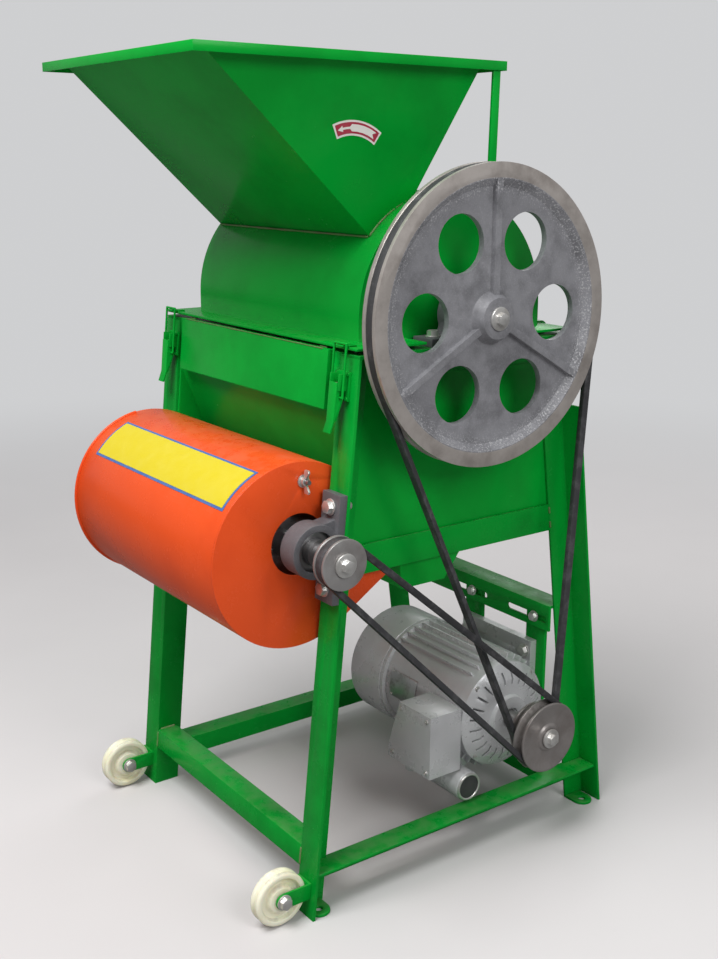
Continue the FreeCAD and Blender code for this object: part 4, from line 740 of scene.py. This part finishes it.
# The belts are wrapped V belts, black rubber under a woven cloth cover that has worn grey;
# the motor's plastic cooling fan has the same dull black.
belt_group, given, result = new_group(
    "belt_cover",
    [("Rubber", "NodeSocketColor", (0.04, 0.04, 0.04, 1)),
     ("Worn", "NodeSocketColor", (0.14, 0.14, 0.14, 1))],
    surface_outputs)
spot = belt_group.nodes.new("ShaderNodeTexCoord").outputs["Object"]
weave = belt_group.nodes.new("ShaderNodeTexWave")
weave.inputs["Scale"].default_value = 380.0
weave.inputs["Distortion"].default_value = 1.5
weave.bands_direction = "DIAGONAL"
belt_group.links.new(spot, weave.inputs["Vector"])
worn = band(belt_group, noise(belt_group, spot, 50.0, 6.0, 0.7), 0.45, 0.75)
belt_color = blend_colors(belt_group, worn, given.outputs["Rubber"], given.outputs["Worn"])
belt_group.links.new(belt_color, result.inputs["Color"])
belt_rough = maths(belt_group, "SUBTRACT", 0.62, maths(belt_group, "MULTIPLY", worn, 0.15))
belt_group.links.new(belt_rough, result.inputs["Roughness"])
belt_group.links.new(weave.outputs["Fac"], result.inputs["Height"])
belt_rubber = finished_material(
    "belt_rubber", belt_group,
    {"Rubber": (0.035, 0.035, 0.038, 1), "Worn": (0.10, 0.10, 0.105, 1)}, 0.0003)
soften("drum_belt", belt_rubber, 0.0007, angle=30)
soften("fan_belt", belt_rubber, 0.0007, angle=30)
finish(belt_rubber, "motor_fan")


# The motor's ribbed housing and end shields are cast aluminium and its cowl is pressed
# steel, all sprayed with one bright silver-grey enamel; dust sits on the ribs.
motor_grey = finished_material(
    "motor_grey", paint_film,
    {"Paint": (0.60, 0.605, 0.615, 1), "Thin": (0.53, 0.535, 0.545, 1), "Dust": (0.56, 0.555, 0.545, 1),
     "Dust amount": 0.35, "Gloss roughness": 0.2, "Mottle scale": 10.0},
    Metallic=0.2, Specular_IOR_Level=0.55)
for node, width, angle, segments in (("motor_frame", 0.0005, 40, 1), ("end_shields", 0.0012, 28, 3),
                                     ("fan_cowl", 0.0016, 40, 3), ("terminal_box", 0.0022, 40, 3),
                                     ("capacitor", 0.0035, 40, 4)):
    soften(node, motor_grey, width, angle, segments)
core_varnish = finished_material(
    "core_varnish", paint_film,
    {"Paint": (0.20, 0.10, 0.05, 1), "Thin": (0.12, 0.06, 0.03, 1), "Dust": (0.2, 0.19, 0.17, 1),
     "Dust amount": 0.3, "Gloss roughness": 0.35, "Mottle scale": 30.0})
finish(core_varnish, "stator")
finish(bare_steel, "motor_rotor")


# Small zinc-plated screws with slotted, domed heads hold the terminal box's lid and the
# motor's front shield.
head_steps = ((0.55, 1.0), (0.30, 0.86), (0.15, 0.6))


def raise_top(height, share):
    bpy.ops.mesh.extrude_region_move(TRANSFORM_OT_translate={"value": (0, 0, height)})
    if share != 1.0:
        bpy.ops.transform.resize(value=(share, share, 1))


def screw(name, base, way, radius, height, slot=True):
    """Low domed head, with a slot or without."""
    bpy.ops.object.select_all(action="DESELECT")
    bpy.ops.mesh.primitive_circle_add(vertices=16, radius=radius, fill_type="NGON")
    piece = bpy.context.object
    piece.name = name
    bpy.ops.object.mode_set(mode="EDIT")
    for rise, share in head_steps:
        raise_top(height * rise, share)
    if slot:
        bpy.ops.mesh.inset(thickness=radius * 0.12)
        bpy.ops.mesh.extrude_region_move(TRANSFORM_OT_translate={"value": (0, 0, -height * 0.45)})
        bpy.ops.transform.resize(value=(0.9, 0.25, 1))
    face_outwards()
    stand_on(piece, base, way)
    bpy.ops.object.shade_smooth_by_angle(angle=math.radians(35))
    piece.data.materials.append(zinc_plate)
    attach(piece, "frame")


box_low, box_high = (Vector(corner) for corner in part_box("terminal_box"))
lid_places = ((box_low.x + 0.030, box_high.z - 0.009), (box_high.x - 0.008, box_high.z - 0.008),
              (box_high.x - 0.008, box_low.z + 0.020), (box_low.x + 0.010, box_low.z + 0.022))
for k, (x, z) in enumerate(lid_places):
    screw("lid_screw_" + str(k), (x, box_low.y, z), (0, -1, 0), 0.0036, 0.0022)

shield_screw_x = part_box("end_shields")[1][0] - 0.020
shield_screw_pitch = 0.073
for k in range(4):
    turn = math.radians(45 + 90 * k)
    screw("shield_screw_" + str(k),
          Vector((shield_screw_x, motor_axis.y + shield_screw_pitch * math.cos(turn),
                  motor_axis.z + shield_screw_pitch * math.sin(turn))), (1, 0, 0), 0.0052, 0.0050)


# The capacitor's can is closed at its near end with a dark phenolic disc, which lies
# under the can's rolled bright rim.
end_plastic = finished_material(
    "end_plastic", paint_film,
    {"Paint": (0.035, 0.036, 0.038, 1), "Thin": (0.05, 0.05, 0.052, 1), "Dust": (0.2, 0.19, 0.17, 1),
     "Dust amount": 0.5, "Gloss roughness": 0.35, "Mottle scale": 30.0})
can_low, can_high = (Vector(corner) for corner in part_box("capacitor"))
can_mid, can_radius = (can_low + can_high) / 2, (can_high.z - can_low.z) / 2
can_end = Vector((can_high.x, can_mid.y, can_mid.z))
across = (0, math.pi / 2, 0)
rim_in, rim_wire, disc_in, disc_thick, disc_sunk = 0.0028, 0.0020, 0.0030, 0.0024, 0.0004
bpy.ops.object.select_all(action="DESELECT")
bpy.ops.mesh.primitive_torus_add(major_radius=can_radius - rim_in, minor_radius=rim_wire,
                                 major_segments=64, minor_segments=12, rotation=across, location=can_end)
can_rim = bpy.context.object
can_rim.name = "capacitor_rim"
bpy.ops.object.select_all(action="DESELECT")
bpy.ops.mesh.primitive_cylinder_add(vertices=64, radius=can_radius - disc_in, depth=disc_thick,
                                    rotation=across, location=can_end - Vector((disc_sunk, 0, 0)))
can_disc = bpy.context.object
can_disc.name = "capacitor_disc"
for piece, mat in ((can_rim, zinc_plate), (can_disc, end_plastic)):
    bpy.ops.object.select_all(action="DESELECT")
    piece.select_set(True)
    bpy.context.view_layer.objects.active = piece
    bpy.ops.object.transform_apply(location=True, rotation=True, scale=True)
    bpy.ops.object.shade_smooth_by_angle(angle=math.radians(40))
    piece.data.materials.append(mat)
    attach(piece, "frame")


# A bare aluminium plate, bent to the housing between the cowl and the terminal box, is held
# by four plain rivets; nothing is stamped on it.
plate_group, given, result = new_group(
    "rolled_plate",
    [("Metal", "NodeSocketColor", (0.6, 0.6, 0.6, 1)),
     ("Stain", "NodeSocketColor", (0.4, 0.38, 0.35, 1))],
    surface_outputs)
spot = plate_group.nodes.new("ShaderNodeTexCoord").outputs["Object"]
stains = band(plate_group, noise(plate_group, spot, 70.0, 6.0, 0.7), 0.45, 0.75)
stained = blend_colors(plate_group, stains, given.outputs["Metal"], given.outputs["Stain"])
plate_group.links.new(stained, result.inputs["Color"])
plate_rough = maths(plate_group, "ADD", maths(plate_group, "MULTIPLY", stains, 0.25), 0.3)
plate_group.links.new(plate_rough, result.inputs["Roughness"])
plate_group.links.new(noise(plate_group, spot, 300.0, 3.0), result.inputs["Height"])
plate_metal = finished_material(
    "plate_metal", plate_group, {"Metal": (0.58, 0.58, 0.57, 1), "Stain": (0.33, 0.32, 0.30, 1)},
    0.0002, Metallic=1.0)

plate_start, plate_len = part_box("motor_frame")[0][0] + 0.012, 0.062
plate_turns = math.radians(158), math.radians(188)
plate_r, plate_thick, rivet_r = 0.0808, 0.0010, 0.0811
rivet_in, rivet_turns = 0.004, (math.radians(160), math.radians(186))
rolled_sheet("motor_plate", motor_axis, plate_r, (plate_start, plate_start + plate_len), plate_turns,
             (2, 12), plate_thick, plate_metal, plate_thick * 0.3)
for k, x in enumerate((plate_start + rivet_in, plate_start + plate_len - rivet_in)):
    for j, turn in enumerate(rivet_turns):
        way = Vector((0, math.cos(turn), math.sin(turn)))
        screw("plate_rivet_" + str(2 * k + j), Vector((x, motor_axis.y, motor_axis.z)) + way * rivet_r,
              way, 0.0019, 0.0012, slot=False)


# The two tilt wheels are turned from ivory nylon with a grooved tread; the machine is
# wheeled on hard floors, so their treads have gone grey.
nylon = finished_material(
    "nylon", paint_film,
    {"Paint": (0.94, 0.90, 0.71, 1), "Thin": (0.88, 0.82, 0.58, 1), "Dust": (0.35, 0.32, 0.26, 1),
     "Dust amount": 0.6, "Gloss roughness": 0.32, "Mottle scale": 22.0}, Subsurface_Weight=0.08)
for node in ("right_wheel", "left_wheel"):
    soften(node, nylon, 0.0012, angle=20, segments=3)


# The bolts, nuts and washers of the blocks, the motor, the wheels and the shafts' ends are
# steel, bright zinc plated, with chamfered hexagons.
for node in ("wheel_bolts", "motor_bolts", "block_bolts", "drum_end_bolt", "fan_end_bolt",
             "motor_end_bolt"):
    soften(node, zinc_plate, 0.0006, angle=30)


# The toggle latches are folded sheet and bent wire, painted over with the housing; a
# coiled spring round each lever's pin holds the lever down.
for node in ("latch_bases", "right_lever", "left_lever"):
    soften(node, green_paint, 0.0004)
finish(green_paint, "right_bail", "left_bail")


spring_radius, spring_wire, spring_pitch, spring_turns = 0.0033, 0.0006, 0.00135, 5


def coil(name, middle, body):
    """Round wire wound along X about a point, with closed ends."""
    bpy.ops.object.select_all(action="DESELECT")
    bpy.ops.mesh.primitive_circle_add(vertices=8, radius=spring_wire, fill_type="NOTHING")
    piece = bpy.context.object
    piece.name = name
    piece.data.transform(Matrix.Translation((0, spring_radius, 0)))
    wound = piece.modifiers.new("wound", "SCREW")
    wound.axis = "X"
    wound.iterations = spring_turns
    wound.screw_offset = spring_pitch
    wound.steps = 18
    wound.render_steps = 18
    bpy.ops.object.modifier_apply(modifier=wound.name)
    start = Vector(middle) - Vector((spring_pitch * spring_turns / 2, 0, 0))
    piece.data.transform(Matrix.Translation(start))
    bpy.ops.object.mode_set(mode="EDIT")
    bpy.ops.mesh.select_all(action="SELECT")
    bpy.ops.mesh.fill_holes(sides=8)
    face_outwards()
    bpy.ops.object.shade_smooth_by_angle(angle=math.radians(50))
    piece.data.materials.append(zinc_plate)
    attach(piece, body)


for joint in frame["record"]["behaviour"]["joints"]:
    if joint["name"].endswith("lever_turn"):
        coil(joint["name"] + "_spring", joint["pos_m"], joint["child"])
